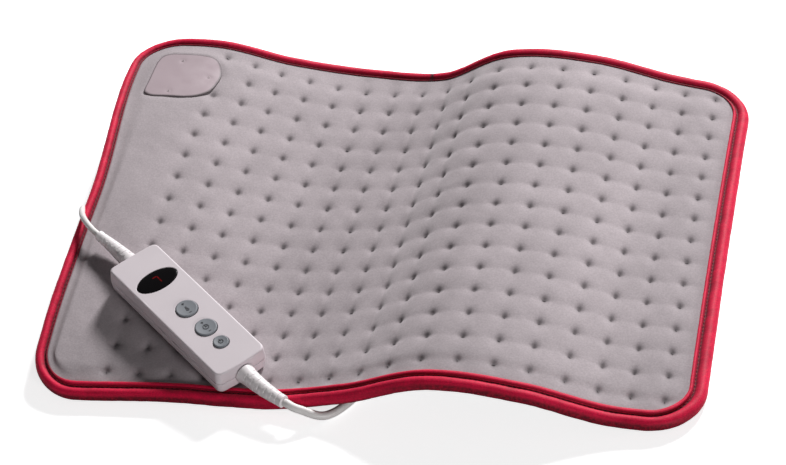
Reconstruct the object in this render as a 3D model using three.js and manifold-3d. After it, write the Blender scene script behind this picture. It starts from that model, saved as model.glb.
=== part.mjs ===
// Heating pad with a wired controller lying on it. Millimetres, +Z up, resting on z = 0.
// The pad is drawn flat, with s from left to right, t from front to rear and h up from its
// underside, and is then laid over the wave that it lies in.
import * as THREE from "three";
import { mergeVertices } from "three/addons/utils/BufferGeometryUtils.js";
import Module from "manifold-3d";

const { Vector2, Vector3, Matrix4 } = THREE;
const wasm = await Module();
wasm.setup();

// Shared clearances
const clearance = 0.3; // between pieces that touch
const overrun = 1; // how far a cut runs past what it cuts
const weldGap = 0.001; // points nearer than this are one point
const restDepth = 0.5; // how deep the pad is flattened where it lies on the table

// Pad, flat
const padLength = 460;
const padWidth = 340;
const padCornerRadius = 35;
const bottomCoverThickness = 3.6;
const fleeceThickness = 1.5;
const wireDiameter = 1;
const topCoverThickness = 3;
const longSideCells = 18;
const shortSideCells = 6;
const cornerCells = 5;

// Layers, as heights above the pad's underside
const fleeceBottom = bottomCoverThickness + clearance;
const fleeceTop = fleeceBottom + fleeceThickness;
const wireMiddle = fleeceTop + clearance + wireDiameter / 2;
const topCoverBottom = wireMiddle + wireDiameter / 2 + clearance;
const padThickness = topCoverBottom + topCoverThickness;

// Edges that are drawn in or bowed out by the sewing
const leftDrawIn = 11;
const leftSkew = 4.5;
const rearBow = 5.4;
const frontSkew = 2.5;

// Wave of the underside, as shares of its height at nine even places from left to right
const waveHeight = 38;
const waveShares = [
  [0.05, 0, 0.03, 0, 0.29, 0.74, 0.58, 0.13, 0], // along the front edge
  [0.89, 0.66, 0.26, 0, 0.13, 0.71, 0.63, 0.16, 0], // along the middle
  [1, 0.95, 0.45, 0.1, 0.13, 0.74, 0.68, 0.29, 0], // along the rear edge
];
const waveSteps = 92;
const slopeProbe = 1;

// Sewn tufts
const tuftSpacing = 21.6;
const tuftLeftMargin = 64.3;
const tuftRightMargin = 25.1;
const tuftFrontMargin = 22.6;
const tuftRearMargin = 18.8;
const tuftToLip = 1.5;
const tuftDepthShare = 0.7;
const ridgeDepthShare = 0.12;
const borderDepthShare = 0.6;

// Edge binding
const bindingRoll = 9.4; // width of the rolled band
const bindingReach = 12.6; // how far its lip reaches in from the edge
const lipThickness = 1;
const grooveThickness = 0.4;
const lipSlope = 0.4;
const rollAngles = [40, 90, 135, 180, 225, 270, 320];

// Corner patch, with its outline as shares of its length and width about its middle
const patchFromLeft = 42; // from the pad's edges to the patch's middle
const patchFromRear = 45.4;
const patchPlace = [patchFromLeft, padWidth - patchFromRear];
const patchLength = 56;
const patchWidth = 49;
const patchThickness = 1.3;
const patchSeat = 0.5;
const patchEdgeDrop = 0.5;
const patchOutlineShares = [
  [-0.47, 0.33],
  [-0.33, 0.45],
  [-0.01, 0.5],
  [0.23, 0.5],
  [0.41, 0.4],
  [0.49, 0.23],
  [0.52, 0.02],
  [0.46, -0.19],
  [0.33, -0.34],
  [0.1, -0.47],
  [-0.16, -0.51],
  [-0.33, -0.5],
  [-0.4, -0.41],
  [-0.42, -0.13],
  [-0.45, 0.12],
];
const patchSpokes = 24;
const patchRingShares = [0.5, 0.93, 1];
const rivetOffsets = [
  [-2.7, 14.2],
  [18.6, 0.6],
  [-4.4, -19.8],
];
const rivetPlaces = rivetOffsets.map(([s, t]) => [patchPlace[0] + s, patchPlace[1] + t]);
const rivetRadius = 0.9;
const rivetHeadRadius = 1.7;
const rivetHeadHeight = 0.5;
const rivetBore = 0.6;
const rivetBoreDepth = 1.2;
const rivetSides = 8;

// Connector under the patch
const socketLength = 32;
const socketWidth = 28;
const socketDepth = 12;
const socketFlangeShare = 0.94;
const socketFlangeThickness = 2;
const socketNeck = [28, 24, 2.2]; // holds the body under the flange, clear of the rivets
const plugNose = [22, 8];
const plugNoseLength = 15;
const plugGrip = [24, 10.4];
const plugGripLength = 17;
const plugReliefLength = 14;
const plugReliefRadius = 4.2;
const socketWall = 1.8;
const socketPinRadius = 1;
const socketPinReach = 6; // into the plug, and as deep into the socket's rear wall
const socketPinSpacing = 8;

// Heating wire and its thermal fuse
const wireTurnRadius = 6;
const wireTurnSteps = 2;
const wireSides = 5;
const wireEvery = 2; // cells of the pad between neighbouring runs
const thermalFuse = [4, 10, 1];

// Controller housing
const housingLength = 125;
const housingWidth = 39;
const housingHeight = 18;
const housingWall = 2;
const housingDraft = 0.5;
const topEdgeRound = 3.5;
const bottomEdgeRound = 3;
const leftBulge = 1.5;
const rightBulge = 4;
const leftCornerRadius = 7;
const rightCornerRadius = 10;
const edgeRoundSteps = 4;
const controllerFromLeft = 116.1; // from the pad's edges to the controller's middle
const controllerFromFront = 57;
const controllerPlace = [
  controllerFromLeft - padLength / 2,
  controllerFromFront - padWidth / 2,
];
const controllerYaw = -40;
const controllerPitch = 7.5;
const controllerSeat = 0.5;

// Controller face
const windowPlace = -32.4;
const windowHalfLength = 7.5;
const windowHalfWidth = 15.2;
const windowFlange = 1.5;
const windowFlangeHeight = 1.1;
const windowRecess = 0.2;
const levelPlace = 0.6;
const timerPlace = 22.1;
const powerPlace = 38.5;
const rockerRadius = 7.2;
const powerRadius = 5.1;
const buttonGap = 0.4;
const buttonFlange = 1.4;
const powerFlange = 1.2;
const buttonFlangeHeight = 1.4;
const buttonRise = 1; // how far a button stands over the housing's top
const buttonRound = 0.7;
const buttonDish = 0.35;
const flangeToWall = 0.6;
const rockerReach = 5; // from a rocker's pivot to its plungers
const rockerPlungerRadius = 1.2;
const rockerPlungerGap = 0.5;
const pivotRidge = 0.3;
const pivotBarWidth = 2;
const pivotLegThickness = 1.5;
const powerPlungerRadius = 1.4;
const powerTravelGap = 0.9;
const roundSides = 28;
const smallSides = 10;

// Circuit board and what stands on it
const boardLevel = -3.4; // its underside, from the parting line
const boardThickness = 1.6;
const boardEdge = 2;
const boardPostRadius = 2;
const boardPostInset = [7, 4];
const switchBody = [6, 6, 3.1];
const switchPlungerRadius = 1.7;
const switchPlungerHeight = 0.8;
const displayBlock = [12, 26];
const capacitorBlock = [5, 13, 7.6];
const triacBlock = [4.6, 10, 7];
const processorBlock = [10, 7, 1.6];
const fuseRadius = 2.6;
const fuseLength = 20;
const partsAfterWindow = 11.5; // from the window's middle to the capacitor and the triac
const fuseAfterWindow = 18.5;
const partsAside = 7.5;
const processorAside = 10;

// Case screws
const bossInset = [11.5, 6.5];
const bossRadius = 3.2;
const screwHoleRadius = 1.5;
const screwRadius = 1.2;
const screwHeadRadius = 2.5;
const screwHeadHeight = 1.6;
const screwHeadDepth = 3;
const screwReach = 5.5;
const screwPoint = 1.2;

// Leads and their strain reliefs
const mainsDiameter = 5.5;
const padLeadDiameter = 4.2;
const leadSides = 10;
const thinLeadSides = 8;
const reliefLength = 37;
const reliefNeckRadius = 5;
const reliefCollarRadius = 6.6;
const reliefCollarLength = 2.3;
const collarSetBackShare = 0.6; // of the end's bulge, so that the collar clears the curved wall
const reliefBaseRadius = 6.3;
const reliefSides = 12;
const reliefTipWall = 1.1;
const reliefStepShares = [0, 0.06, 0.3, 0.6, 0.86, 0.88, 1];
const reliefTaperShares = [1, 1, 0.74, 0.4, 0.16, 0, -0.1];
const mainsReliefBend = [4, 0.8];
const padReliefBend = [2.6, 1.9];

// Coils of the put-away length
const loopSteps = 24;
const coilSides = 6;
const coilGap = 0.5; // between neighbouring turns
const leastCoilGap = 0.4;
const mainsCoilPlace = [73.3, -64.7];
const mainsCoilRadius = 33;
const mainsCoilTurns = 7.5;
const padCoilPlace = [-146.7, 18];
const padCoilRadius = 24;
const padCoilTurns = 2.5;
const tieThickness = 0.6;
const tieWidth = 5;

// Mains plug, flat with two round pins, with its outline as shares of its size
const plugPlace = [63.3, 25.5];
const plugLength = 36;
const plugWidth = 35;
const plugThickness = 13.7;
const plugBevel = 1.6;
const plugCordEndRadius = 5;
const plugReliefRun = 20;
const plugOutlineShares = [
  [0, 0.16],
  [0.22, 0.24],
  [0.5, 0.46],
  [0.82, 0.5],
  [1, 0.38],
];
const pinSpacing = 19;
const pinRadius = 2;
const pinLength = 19;
const pinSeat = 5;

// Routes of the free leads, between their computed ends
const padLeadOver = [
  [-195.7, -48.4, 42.6],
  [-199.9, -44.4, 43.3],
  [-204.5, -38.9, 43.4],
  [-208.7, -32, 42],
  [-212.2, -23, 38.8],
  [-214.7, -14.5, 33.2],
  [-215.7, -7.5, 26.8],
  [-214.5, -1.8, 20.3],
  [-209.5, 1, 14],
  [-201.5, 0.8, 8.6],
  [-192, -2.2, 4.8],
  [-181.5, -6.2, 3.1],
  [-170, -8.6, 2.9],
  [-160, -9, 3],
];
const padLeadUp = [
  [-160, 45.2, 8.2],
  [-168, 47.3, 10.4],
  [-175.5, 52.5, 14.4],
  [-180.5, 60, 19.4],
];
const mainsLeadIn = [
  [-29.7, -176, 13],
  [-23.7, -176.1, 10.5],
  [-17.7, -175.9, 7.6],
  [-12.2, -174.3, 4.9],
  [-6.7, -169.7, 3.2],
  [-1.2, -163, 2.8],
  [6.3, -151, 2.8],
  [17.3, -136, 2.8],
  [31.3, -123, 2.9],
  [46.3, -113, 3.2],
  [57.5, -109.3, 3.5],
];
const mainsLeadOut = [
  [60, -20.6, 9.6],
  [48.5, -18, 9.2],
  [39.8, -10.5, 8.5],
  [36.3, 1, 7.6],
  [38.9, 12.8, 7],
  [46.5, 21.6, 6.9],
];

// Finishes
const finishes = {
  velvet: new THREE.MeshStandardMaterial({ color: 0xb3a8ac, roughness: 0.95, metalness: 0 }),
  underVelvet: new THREE.MeshStandardMaterial({ color: 0xa59da1, roughness: 0.95, metalness: 0 }),
  fleece: new THREE.MeshStandardMaterial({ color: 0xe4e0d8, roughness: 1, metalness: 0 }),
  binding: new THREE.MeshStandardMaterial({ color: 0xc31a3e, roughness: 0.85, metalness: 0 }),
  patch: new THREE.MeshStandardMaterial({ color: 0xada2a6, roughness: 0.7, metalness: 0 }),
  housing: new THREE.MeshStandardMaterial({ color: 0xe6dee3, roughness: 0.45, metalness: 0 }),
  button: new THREE.MeshStandardMaterial({ color: 0x9aa3ac, roughness: 0.5, metalness: 0 }),
  lens: new THREE.MeshStandardMaterial({ color: 0x0c080a, roughness: 0.12, metalness: 0 }),
  lead: new THREE.MeshStandardMaterial({ color: 0xe3dfdb, roughness: 0.55, metalness: 0 }),
  steel: new THREE.MeshStandardMaterial({ color: 0xb9bbc0, roughness: 0.35, metalness: 1 }),
  wire: new THREE.MeshStandardMaterial({ color: 0xc9c3b4, roughness: 0.6, metalness: 0 }),
  board: new THREE.MeshStandardMaterial({ color: 0x1f5a35, roughness: 0.6, metalness: 0 }),
  component: new THREE.MeshStandardMaterial({ color: 0x26262a, roughness: 0.6, metalness: 0 }),
  capacitor: new THREE.MeshStandardMaterial({ color: 0xb98f2a, roughness: 0.5, metalness: 0 }),
};

// Booleans on closed geometries
function toSolid(geometry) {
  const bare = new THREE.BufferGeometry();
  bare.setAttribute("position", geometry.getAttribute("position"));
  bare.setIndex(geometry.index);
  const welded = mergeVertices(bare, weldGap);
  const triVerts = new Uint32Array(welded.index.array);
  const vertProperties = new Float32Array(welded.attributes.position.array);
  return new wasm.Manifold(new wasm.Mesh({ numProp: 3, vertProperties, triVerts }));
}

function toGeometry(solid) {
  const { numProp, vertProperties, triVerts } = solid.getMesh();
  const positions = [];
  for (let i = 0; i < vertProperties.length; i += numProp) {
    positions.push(...vertProperties.subarray(i, i + 3));
  }
  const geometry = new THREE.BufferGeometry();
  geometry.setAttribute("position", new THREE.Float32BufferAttribute(positions, 3));
  geometry.setIndex([...triVerts]);
  return geometry;
}

const join = (...solids) => solids.reduce((whole, next) => whole.add(next));
const cut = (solid, ...tools) => tools.reduce((whole, tool) => whole.subtract(tool), solid);

// Closed solids of simple form, made from three.js geometries
function block([fromX, toX], [fromY, toY], [fromZ, toZ]) {
  const geometry = new THREE.BoxGeometry(toX - fromX, toY - fromY, toZ - fromZ);
  geometry.translate((fromX + toX) / 2, (fromY + toY) / 2, (fromZ + toZ) / 2);
  return toSolid(geometry);
}

function post(radius, [fromZ, toZ], [x, y] = [0, 0], sides = smallSides) {
  const geometry = new THREE.CylinderGeometry(radius, radius, toZ - fromZ, sides);
  geometry.rotateX(Math.PI / 2);
  geometry.translate(x, y, (fromZ + toZ) / 2);
  return toSolid(geometry);
}

function turned(profile, sides = roundSides) {
  const points = profile.map(([radius, height]) => new Vector2(radius, height));
  const geometry = new THREE.LatheGeometry(points, sides);
  geometry.rotateX(Math.PI / 2);
  return toSolid(geometry);
}

function oval(halfLength, halfWidth, [fromZ, toZ], x = 0) {
  const shape = new THREE.Shape();
  shape.absellipse(0, 0, halfLength, halfWidth, 0, Math.PI * 2);
  const geometry = new THREE.ExtrudeGeometry(shape, {
    depth: toZ - fromZ,
    bevelEnabled: false,
    curveSegments: roundSides / 2,
  });
  geometry.translate(x, 0, fromZ);
  return toSolid(geometry);
}

// A surface built up from points and faces
class FaceSet {
  constructor() {
    this.places = [];
    this.faces = [];
  }
  add(point) {
    this.places.push(point.x, point.y, point.z);
    return this.places.length / 3 - 1;
  }
  face(a, b, c, flipped = false) {
    this.faces.push(a, flipped ? c : b, flipped ? b : c);
  }
  quad(a, b, c, d, flipped = false) {
    this.face(a, b, c, flipped);
    this.face(a, c, d, flipped);
  }
  polygon(corners, flipped) {
    for (let k = 2; k < corners.length; k++) {
      this.face(corners[0], corners[k - 1], corners[k], flipped);
    }
  }
  band(low, high) {
    low.forEach((from, k) => {
      const next = (k + 1) % low.length;
      this.quad(from, low[next], high[next], high[k]);
    });
  }
  fan(ring, flipped) {
    const middle = new Vector3();
    ring.forEach((index) => middle.add(new Vector3().fromArray(this.places, index * 3)));
    const centre = this.add(middle.divideScalar(ring.length));
    ring.forEach((from, k) => this.face(centre, from, ring[(k + 1) % ring.length], flipped));
  }
  geometry() {
    const geometry = new THREE.BufferGeometry();
    geometry.setAttribute("position", new THREE.Float32BufferAttribute(this.places, 3));
    geometry.setIndex(this.faces);
    return geometry;
  }
}

// Rings of points, each counter-clockwise seen from the last one, closed into a solid
function loft(rings) {
  const skin = new FaceSet();
  const indices = rings.map((ring) => ring.map((point) => skin.add(point)));
  indices.slice(1).forEach((ring, k) => skin.band(indices[k], ring));
  skin.fan(indices[0], true);
  skin.fan(indices[indices.length - 1], false);
  return skin.geometry();
}

// The wave: height and plan place of a point of the flat underside
const waveRows = waveShares.map((shares) => {
  const last = shares.length - 1;
  const points = shares.map(
    (share, i) => new Vector3((padLength * i) / last, 0, waveHeight * share),
  );
  return new THREE.CatmullRomCurve3(points, false, "catmullrom");
});
const wavePlans = waveRows.map((row) => {
  const run = padLength / waveSteps;
  const plan = [0];
  for (let i = 1; i <= waveSteps; i++) {
    const rise = row.getPoint(i / waveSteps).z - row.getPoint((i - 1) / waveSteps).z;
    plan.push(plan[i - 1] + Math.sqrt(run ** 2 - rise ** 2));
  }
  return plan.map((x) => x - plan[waveSteps / 2]);
});
const planMiddle = (wavePlans[0][0] + wavePlans[0][waveSteps]) / 2;

function rowShares(t) {
  const w = t / padWidth;
  return [(1 - w) * (1 - 2 * w), 4 * w * (1 - w), w * (2 * w - 1)];
}

function undersidePoint(s, t) {
  const along = THREE.MathUtils.clamp(s / padLength, 0, 1);
  const step = Math.min(Math.floor(along * waveSteps), waveSteps - 1);
  const part = along * waveSteps - step;
  let height = 0;
  let x = s - along * padLength - planMiddle;
  rowShares(t).forEach((share, i) => {
    height += share * waveRows[i].getPoint(along).z;
    x += share * THREE.MathUtils.lerp(wavePlans[i][step], wavePlans[i][step + 1], part);
  });
  return new Vector3(x, t - (padWidth + rearBow) / 2, Math.max(0, height) - restDepth);
}

function padNormal(s, t) {
  const inside = THREE.MathUtils.clamp(s, slopeProbe, padLength - slopeProbe);
  const along = undersidePoint(inside + slopeProbe, t).sub(undersidePoint(inside - slopeProbe, t));
  const across = undersidePoint(inside, t + slopeProbe).sub(undersidePoint(inside, t - slopeProbe));
  return along.cross(across).normalize();
}

function padPoint(s, t, h) {
  return undersidePoint(s, t).addScaledVector(padNormal(s, t), h);
}

// Frame of a rigid piece fixed to the pad: x to the right, y to the rear, z out of the pad
function padFrame(s, t) {
  const up = padNormal(s, t);
  const along = undersidePoint(s + slopeProbe, t).sub(undersidePoint(s - slopeProbe, t));
  const right = along.addScaledVector(up, -along.dot(up)).normalize();
  const rear = up.clone().cross(right);
  return new Matrix4().makeBasis(right, rear, up).setPosition(undersidePoint(s, t));
}

function padTopHeight(x, y) {
  let s = x + padLength / 2;
  let t = y + padWidth / 2;
  let point = padPoint(s, t, padThickness);
  for (let turn = 0; turn < 4; turn++) {
    s += x - point.x;
    t += y - point.y;
    point = padPoint(s, t, padThickness);
  }
  return point.z;
}

// Stations round the pad's edge, counter-clockwise, each with the cell corner that it faces
const cellLength = (padLength - 2 * padCornerRadius) / longSideCells;
const cellWidth = (padWidth - 2 * padCornerRadius) / shortSideCells;
const cellCorner = (column, row) => [
  padCornerRadius + cellLength * column,
  padCornerRadius + cellWidth * row,
];
const stations = [
  { from: [0, 0], step: [1, 0], cells: longSideCells },
  { from: [longSideCells, 0], step: [0, 1], cells: shortSideCells },
  { from: [longSideCells, shortSideCells], step: [-1, 0], cells: longSideCells },
  { from: [0, shortSideCells], step: [0, -1], cells: shortSideCells },
].flatMap(({ from, step, cells }, side) => {
  const list = [];
  for (let k = 0; k <= cornerCells; k++) {
    const angle = (Math.PI / 2) * (2 + side + k / cornerCells);
    list.push({ cell: from, out: new Vector2(Math.cos(angle), Math.sin(angle)) });
  }
  for (let k = 1; k < cells; k++) {
    const cell = [from[0] + step[0] * k, from[1] + step[1] * k];
    list.push({ cell, out: new Vector2(step[1], -step[0]) });
  }
  return list;
});

function flatEdge({ cell, out }, inset) {
  const core = new Vector2(...cellCorner(...cell));
  const outer = core.clone().addScaledVector(out, padCornerRadius);
  const u = THREE.MathUtils.clamp(outer.x / padLength, 0, 1);
  const w = THREE.MathUtils.clamp(outer.y / padWidth, 0, 1);
  const inLeft = leftDrawIn * Math.sin(Math.PI * w) + leftSkew * Math.sin(2 * Math.PI * w);
  const drift = new Vector2(
    (1 - u) ** 2 * inLeft,
    w ** 2 * rearBow * Math.sin(Math.PI * u) +
      (1 - w) ** 2 * frontSkew * Math.sin(2 * Math.PI * u),
  );
  return core.addScaledVector(out, padCornerRadius - inset).add(drift);
}

function edgePoint(station, inset, h) {
  const flat = flatEdge(station, inset);
  return padPoint(flat.x, flat.y, h);
}

// A smooth face of the pad on its cells, returning the indices of its rim
function addPlainFace(skin, inset, h, flipped) {
  const rim = stations.map((station) => skin.add(edgePoint(station, inset, h)));
  const corners = [];
  for (let column = 0; column <= longSideCells; column++) {
    corners.push([]);
    for (let row = 0; row <= shortSideCells; row++) {
      corners[column].push(skin.add(padPoint(...cellCorner(column, row), h)));
    }
  }
  for (let i = 0; i < longSideCells; i++) {
    for (let j = 0; j < shortSideCells; j++) {
      const [near, far] = [corners[i], corners[i + 1]];
      skin.quad(near[j], far[j], far[j + 1], near[j + 1], flipped);
    }
  }
  stations.forEach((station, k) => {
    const next = (k + 1) % stations.length;
    const [column, row] = station.cell;
    const [nextColumn, nextRow] = stations[next].cell;
    const inner = corners[column][row];
    const innerNext = corners[nextColumn][nextRow];
    skin.face(rim[k], rim[next], inner, flipped);
    if (inner !== innerNext) skin.face(rim[next], innerNext, inner, flipped);
  });
  return rim;
}

// Places of the tufts; near a corner they keep off the binding's lip
const tuftColumns = Math.round((padLength - tuftLeftMargin - tuftRightMargin) / tuftSpacing);
const tuftRows = Math.round((padWidth - tuftFrontMargin - tuftRearMargin) / tuftSpacing);
const columnSpacing = (padLength - tuftLeftMargin - tuftRightMargin) / tuftColumns;
const rowSpacing = (padWidth - tuftFrontMargin - tuftRearMargin) / tuftRows;
const coverInset = bindingReach + 2 * clearance;

function tuftPlace(column, row) {
  const place = new Vector2(
    tuftLeftMargin + columnSpacing * column,
    tuftFrontMargin + rowSpacing * row,
  );
  const core = place.clone().clamp(
    new Vector2(padCornerRadius, padCornerRadius),
    new Vector2(padLength - padCornerRadius, padWidth - padCornerRadius),
  );
  const away = place.clone().sub(core);
  return core.add(away.clampLength(0, padCornerRadius - coverInset - tuftToLip));
}

// Faces between two rings that run the same way, each step across the shorter gap
function addSeam(skin, outer, inner, across, flipped) {
  const at = (ring, k) => ring[k % ring.length];
  const nearest = inner.reduce((a, b) => (across(outer[0], b) < across(outer[0], a) ? b : a));
  let i = 0;
  let j = inner.indexOf(nearest);
  const ends = [outer.length, j + inner.length];
  while (i < ends[0] || j < ends[1]) {
    const outerFirst = across(at(outer, i + 1), at(inner, j)) < across(at(outer, i), at(inner, j + 1));
    if (j === ends[1] || (i < ends[0] && outerFirst)) {
      skin.face(at(outer, i), at(outer, i + 1), at(inner, j), flipped);
      i += 1;
    } else {
      skin.face(at(outer, i), at(inner, j + 1), at(inner, j), flipped);
      j += 1;
    }
  }
}

// The tufted outer face of a cover. level(depth) is the height at a depth under its crown.
// Ridges, where it has them, run from tuft to tuft along the rows.
function addTuftedFace(skin, thickness, level, { ridged, flipped }) {
  const tuftLevel = level(thickness * tuftDepthShare);
  const ridgeLevel = level(thickness * ridgeDepthShare);
  const borderLevel = level(thickness * borderDepthShare);
  const flatPlaces = new Map();
  const at = (place, h) => {
    const index = skin.add(padPoint(place.x, place.y, h));
    flatPlaces.set(index, place);
    return index;
  };
  const tufts = [];
  const ridges = [];
  for (let i = 0; i <= tuftColumns; i++) {
    tufts.push([]);
    ridges.push([]);
    for (let j = 0; j <= tuftRows; j++) {
      tufts[i].push(at(tuftPlace(i, j), tuftLevel));
      if (j < tuftRows) ridges[i].push(ridged ? [at(tuftPlace(i, j + 0.5), ridgeLevel)] : []);
    }
  }
  for (let i = 0; i < tuftColumns; i++) {
    for (let j = 0; j < tuftRows; j++) {
      const crown = at(tuftPlace(i + 0.5, j + 0.5), level(0));
      const round = [tufts[i][j], tufts[i + 1][j], ...ridges[i + 1][j]];
      round.push(tufts[i + 1][j + 1], tufts[i][j + 1], ...ridges[i][j]);
      round.forEach((from, k) => skin.face(crown, from, round[(k + 1) % round.length], flipped));
    }
  }
  // the plain band left of the tufts
  const plain = tufts[0].map((_, j) => at(tuftPlace(-1, j), level(0)));
  for (let j = 0; j < tuftRows; j++) {
    const cell = [plain[j], tufts[0][j], ...ridges[0][j], tufts[0][j + 1], plain[j + 1]];
    skin.polygon(cell, flipped);
  }
  // the border between the tufted field and the rim under the binding's lip
  const rim = stations.map((station) => skin.add(edgePoint(station, rimInset, borderLevel)));
  const contour = stations.map((station) => at(flatEdge(station, coverInset), borderLevel));
  rim.forEach((from, k) => {
    const next = (k + 1) % rim.length;
    skin.quad(from, rim[next], contour[next], contour[k], flipped);
  });
  const field = [
    ...plain.slice().reverse(),
    ...tufts.map((column) => column[0]),
    ...ridges[tuftColumns].flatMap((ridge, j) => [...ridge, tufts[tuftColumns][j + 1]]),
    ...tufts.slice(0, -1).map((column) => column[tuftRows]).reverse(),
  ];
  const across = (a, b) => flatPlaces.get(a).distanceTo(flatPlaces.get(b));
  addSeam(skin, contour, field, across, flipped);
  return rim;
}

const rimInset = bindingRoll + clearance;

// Everything below the table's top is cut away where the pad lies on it
function flattened(solid) {
  const below = [-padLength, padLength];
  return cut(solid, block(below, below, [-padLength, 0]));
}

const topBorder = padThickness - topCoverThickness * borderDepthShare;
const bottomBorder = bottomCoverThickness * borderDepthShare;

function makeTopCover() {
  const skin = new FaceSet();
  const level = (depth) => padThickness - depth;
  const outer = addTuftedFace(skin, topCoverThickness, level, { ridged: true, flipped: false });
  const inner = addPlainFace(skin, rimInset, topCoverBottom, true);
  skin.band(inner, outer);
  return cut(toSolid(skin.geometry()), ...rivetHoles());
}

function makeBottomCover() {
  const skin = new FaceSet();
  const inner = addPlainFace(skin, rimInset, bottomCoverThickness, false);
  const level = (depth) => depth;
  const outer = addTuftedFace(skin, bottomCoverThickness, level, { ridged: false, flipped: true });
  skin.band(outer, inner);
  return cut(flattened(toSolid(skin.geometry())), ...rivetHoles());
}

function makeFleeceCore() {
  const skin = new FaceSet();
  const low = addPlainFace(skin, bindingReach, fleeceBottom, true);
  const high = addPlainFace(skin, bindingReach, fleeceTop, false);
  skin.band(low, high);
  return cut(toSolid(skin.geometry()), ...rivetHoles());
}

// Section of the edge binding, from the edge inwards and up from the pad's underside
function bindingSection() {
  const pocketTop = topBorder + clearance;
  const pocketBottom = bottomBorder - clearance;
  const groove = bindingRoll + clearance;
  const roll = rollAngles.map((degrees) => {
    const angle = THREE.MathUtils.degToRad(degrees);
    const out = (bindingRoll / 2) * (1 + Math.cos(angle));
    return [out, (padThickness / 2) * (1 + Math.sin(angle))];
  });
  return [
    [bindingRoll, pocketTop],
    [bindingReach, pocketTop],
    [bindingReach - lipSlope, pocketTop + lipThickness],
    [groove, pocketTop + grooveThickness],
    ...roll,
    [groove, pocketBottom - grooveThickness],
    [bindingReach - lipSlope, pocketBottom - lipThickness],
    [bindingReach, pocketBottom],
    [bindingRoll, pocketBottom],
  ];
}

function makeEdgeBinding() {
  const skin = new FaceSet();
  const section = bindingSection();
  const rings = stations.map((station) =>
    section.map(([inset, h]) => skin.add(edgePoint(station, inset, h))),
  );
  rings.forEach((ring, k) => {
    const nextRing = rings[(k + 1) % rings.length];
    ring.forEach((from, j) => {
      const next = (j + 1) % ring.length;
      skin.quad(from, ring[next], nextRing[next], nextRing[j]);
    });
  });
  return flattened(toSolid(skin.geometry()));
}

// A thin plate that follows the pad, with the patch's outline scaled by size
function patchPlate(size, bottom, top, edgeDrop) {
  const outline = new THREE.CatmullRomCurve3(
    patchOutlineShares.map(([x, y]) => new Vector3(x * patchLength, y * patchWidth, 0)),
    true,
  )
    .getSpacedPoints(patchSpokes)
    .slice(1)
    .reverse();
  const skin = new FaceSet();
  const [s, t] = patchPlace;
  const ring = (share, h) =>
    outline.map(({ x, y }) => skin.add(padPoint(s + x * size * share, t + y * size * share, h)));
  const face = (h, rimHeight, flipped) => {
    const centre = skin.add(padPoint(s, t, h));
    const last = patchRingShares.length - 1;
    const rings = patchRingShares.map((share, k) => ring(share, k === last ? rimHeight : h));
    rings[0].forEach((from, k) => {
      skin.face(centre, from, rings[0][(k + 1) % patchSpokes], flipped);
    });
    rings.slice(1).forEach((outer, k) => {
      outer.forEach((from, j) => {
        const next = (j + 1) % patchSpokes;
        skin.quad(rings[k][j], from, outer[next], rings[k][next], flipped);
      });
    });
    return rings[last];
  };
  const low = face(bottom, bottom, true);
  const high = face(top, top - edgeDrop, false);
  skin.band(low, high);
  return toSolid(skin.geometry());
}

const patchBottom = padThickness + patchSeat;
const patchTop = patchBottom + patchThickness;
const flangeTop = -patchSeat;
const flangeBottom = flangeTop - socketFlangeThickness;

function onPad(solid, [s, t]) {
  return toSolid(toGeometry(solid).applyMatrix4(padFrame(s, t)));
}

function rivetHoles() {
  const reach = [flangeBottom - overrun, patchTop + overrun];
  const hole = post(rivetRadius + clearance, reach, [0, 0], rivetSides);
  return rivetPlaces.map((place) => onPad(hole, place));
}

function makeCornerPatch() {
  return cut(patchPlate(1, patchBottom, patchTop, patchEdgeDrop), ...rivetHoles());
}

function makeRivet(place) {
  const headBottom = patchTop + clearance;
  const headTop = headBottom + rivetHeadHeight;
  const tailTop = flangeBottom - clearance;
  const tailBottom = tailTop - rivetHeadHeight;
  const rivet = turned(
    [
      [0, tailBottom],
      [rivetHeadRadius, tailBottom],
      [rivetHeadRadius, tailTop],
      [rivetRadius, tailTop],
      [rivetRadius, headBottom],
      [rivetHeadRadius, headBottom],
      [rivetBore, headTop],
      [rivetBore, headTop - rivetBoreDepth],
      [0, headTop - rivetBoreDepth],
    ],
    rivetSides,
  );
  return onPad(rivet, place);
}

// The connector hangs under the patch: its socket opens to the front, where the plug goes in
const socketTop = flangeBottom - socketNeck[2];
const plugLevel = socketTop - socketDepth / 2;
const socketMouth = -socketLength / 2;
const noseEnd = socketMouth + plugNoseLength;
const centred = (size) => [-size / 2, size / 2];
const around = (middle, size) => [middle - size / 2, middle + size / 2];
const pinMiddles = [-socketPinSpacing / 2, socketPinSpacing / 2];

function socketPinHole(x, radius, [from, to]) {
  const hole = new THREE.CylinderGeometry(radius, radius, to - from, smallSides);
  hole.translate(x, (from + to) / 2, plugLevel);
  return toSolid(hole);
}

function makeConnectorSocket() {
  const body = block(centred(socketWidth), centred(socketLength), [
    socketTop - socketDepth,
    socketTop,
  ]);
  const neck = block(centred(socketNeck[0]), [socketMouth, socketMouth + socketNeck[1]], [
    socketTop - socketWall / 2,
    flangeBottom + socketFlangeThickness / 2,
  ]);
  const bore = block(
    centred(plugNose[0] + 2 * clearance),
    [socketMouth - overrun, noseEnd + clearance],
    around(plugLevel, plugNose[1] + 2 * clearance),
  );
  const pinHoles = pinMiddles.map((x) =>
    socketPinHole(x, socketPinRadius + clearance, [
      noseEnd,
      noseEnd + socketPinReach + clearance,
    ]),
  );
  const flange = patchPlate(socketFlangeShare, flangeBottom, flangeTop, 0);
  const housing = onPad(cut(join(body, neck), bore, ...pinHoles), patchPlace);
  return cut(join(flange, housing), ...rivetHoles());
}

function makeSocketPin(x) {
  const span = [noseEnd - socketPinReach, noseEnd + socketPinReach];
  return onPad(socketPinHole(x, socketPinRadius, span), patchPlace);
}

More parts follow.
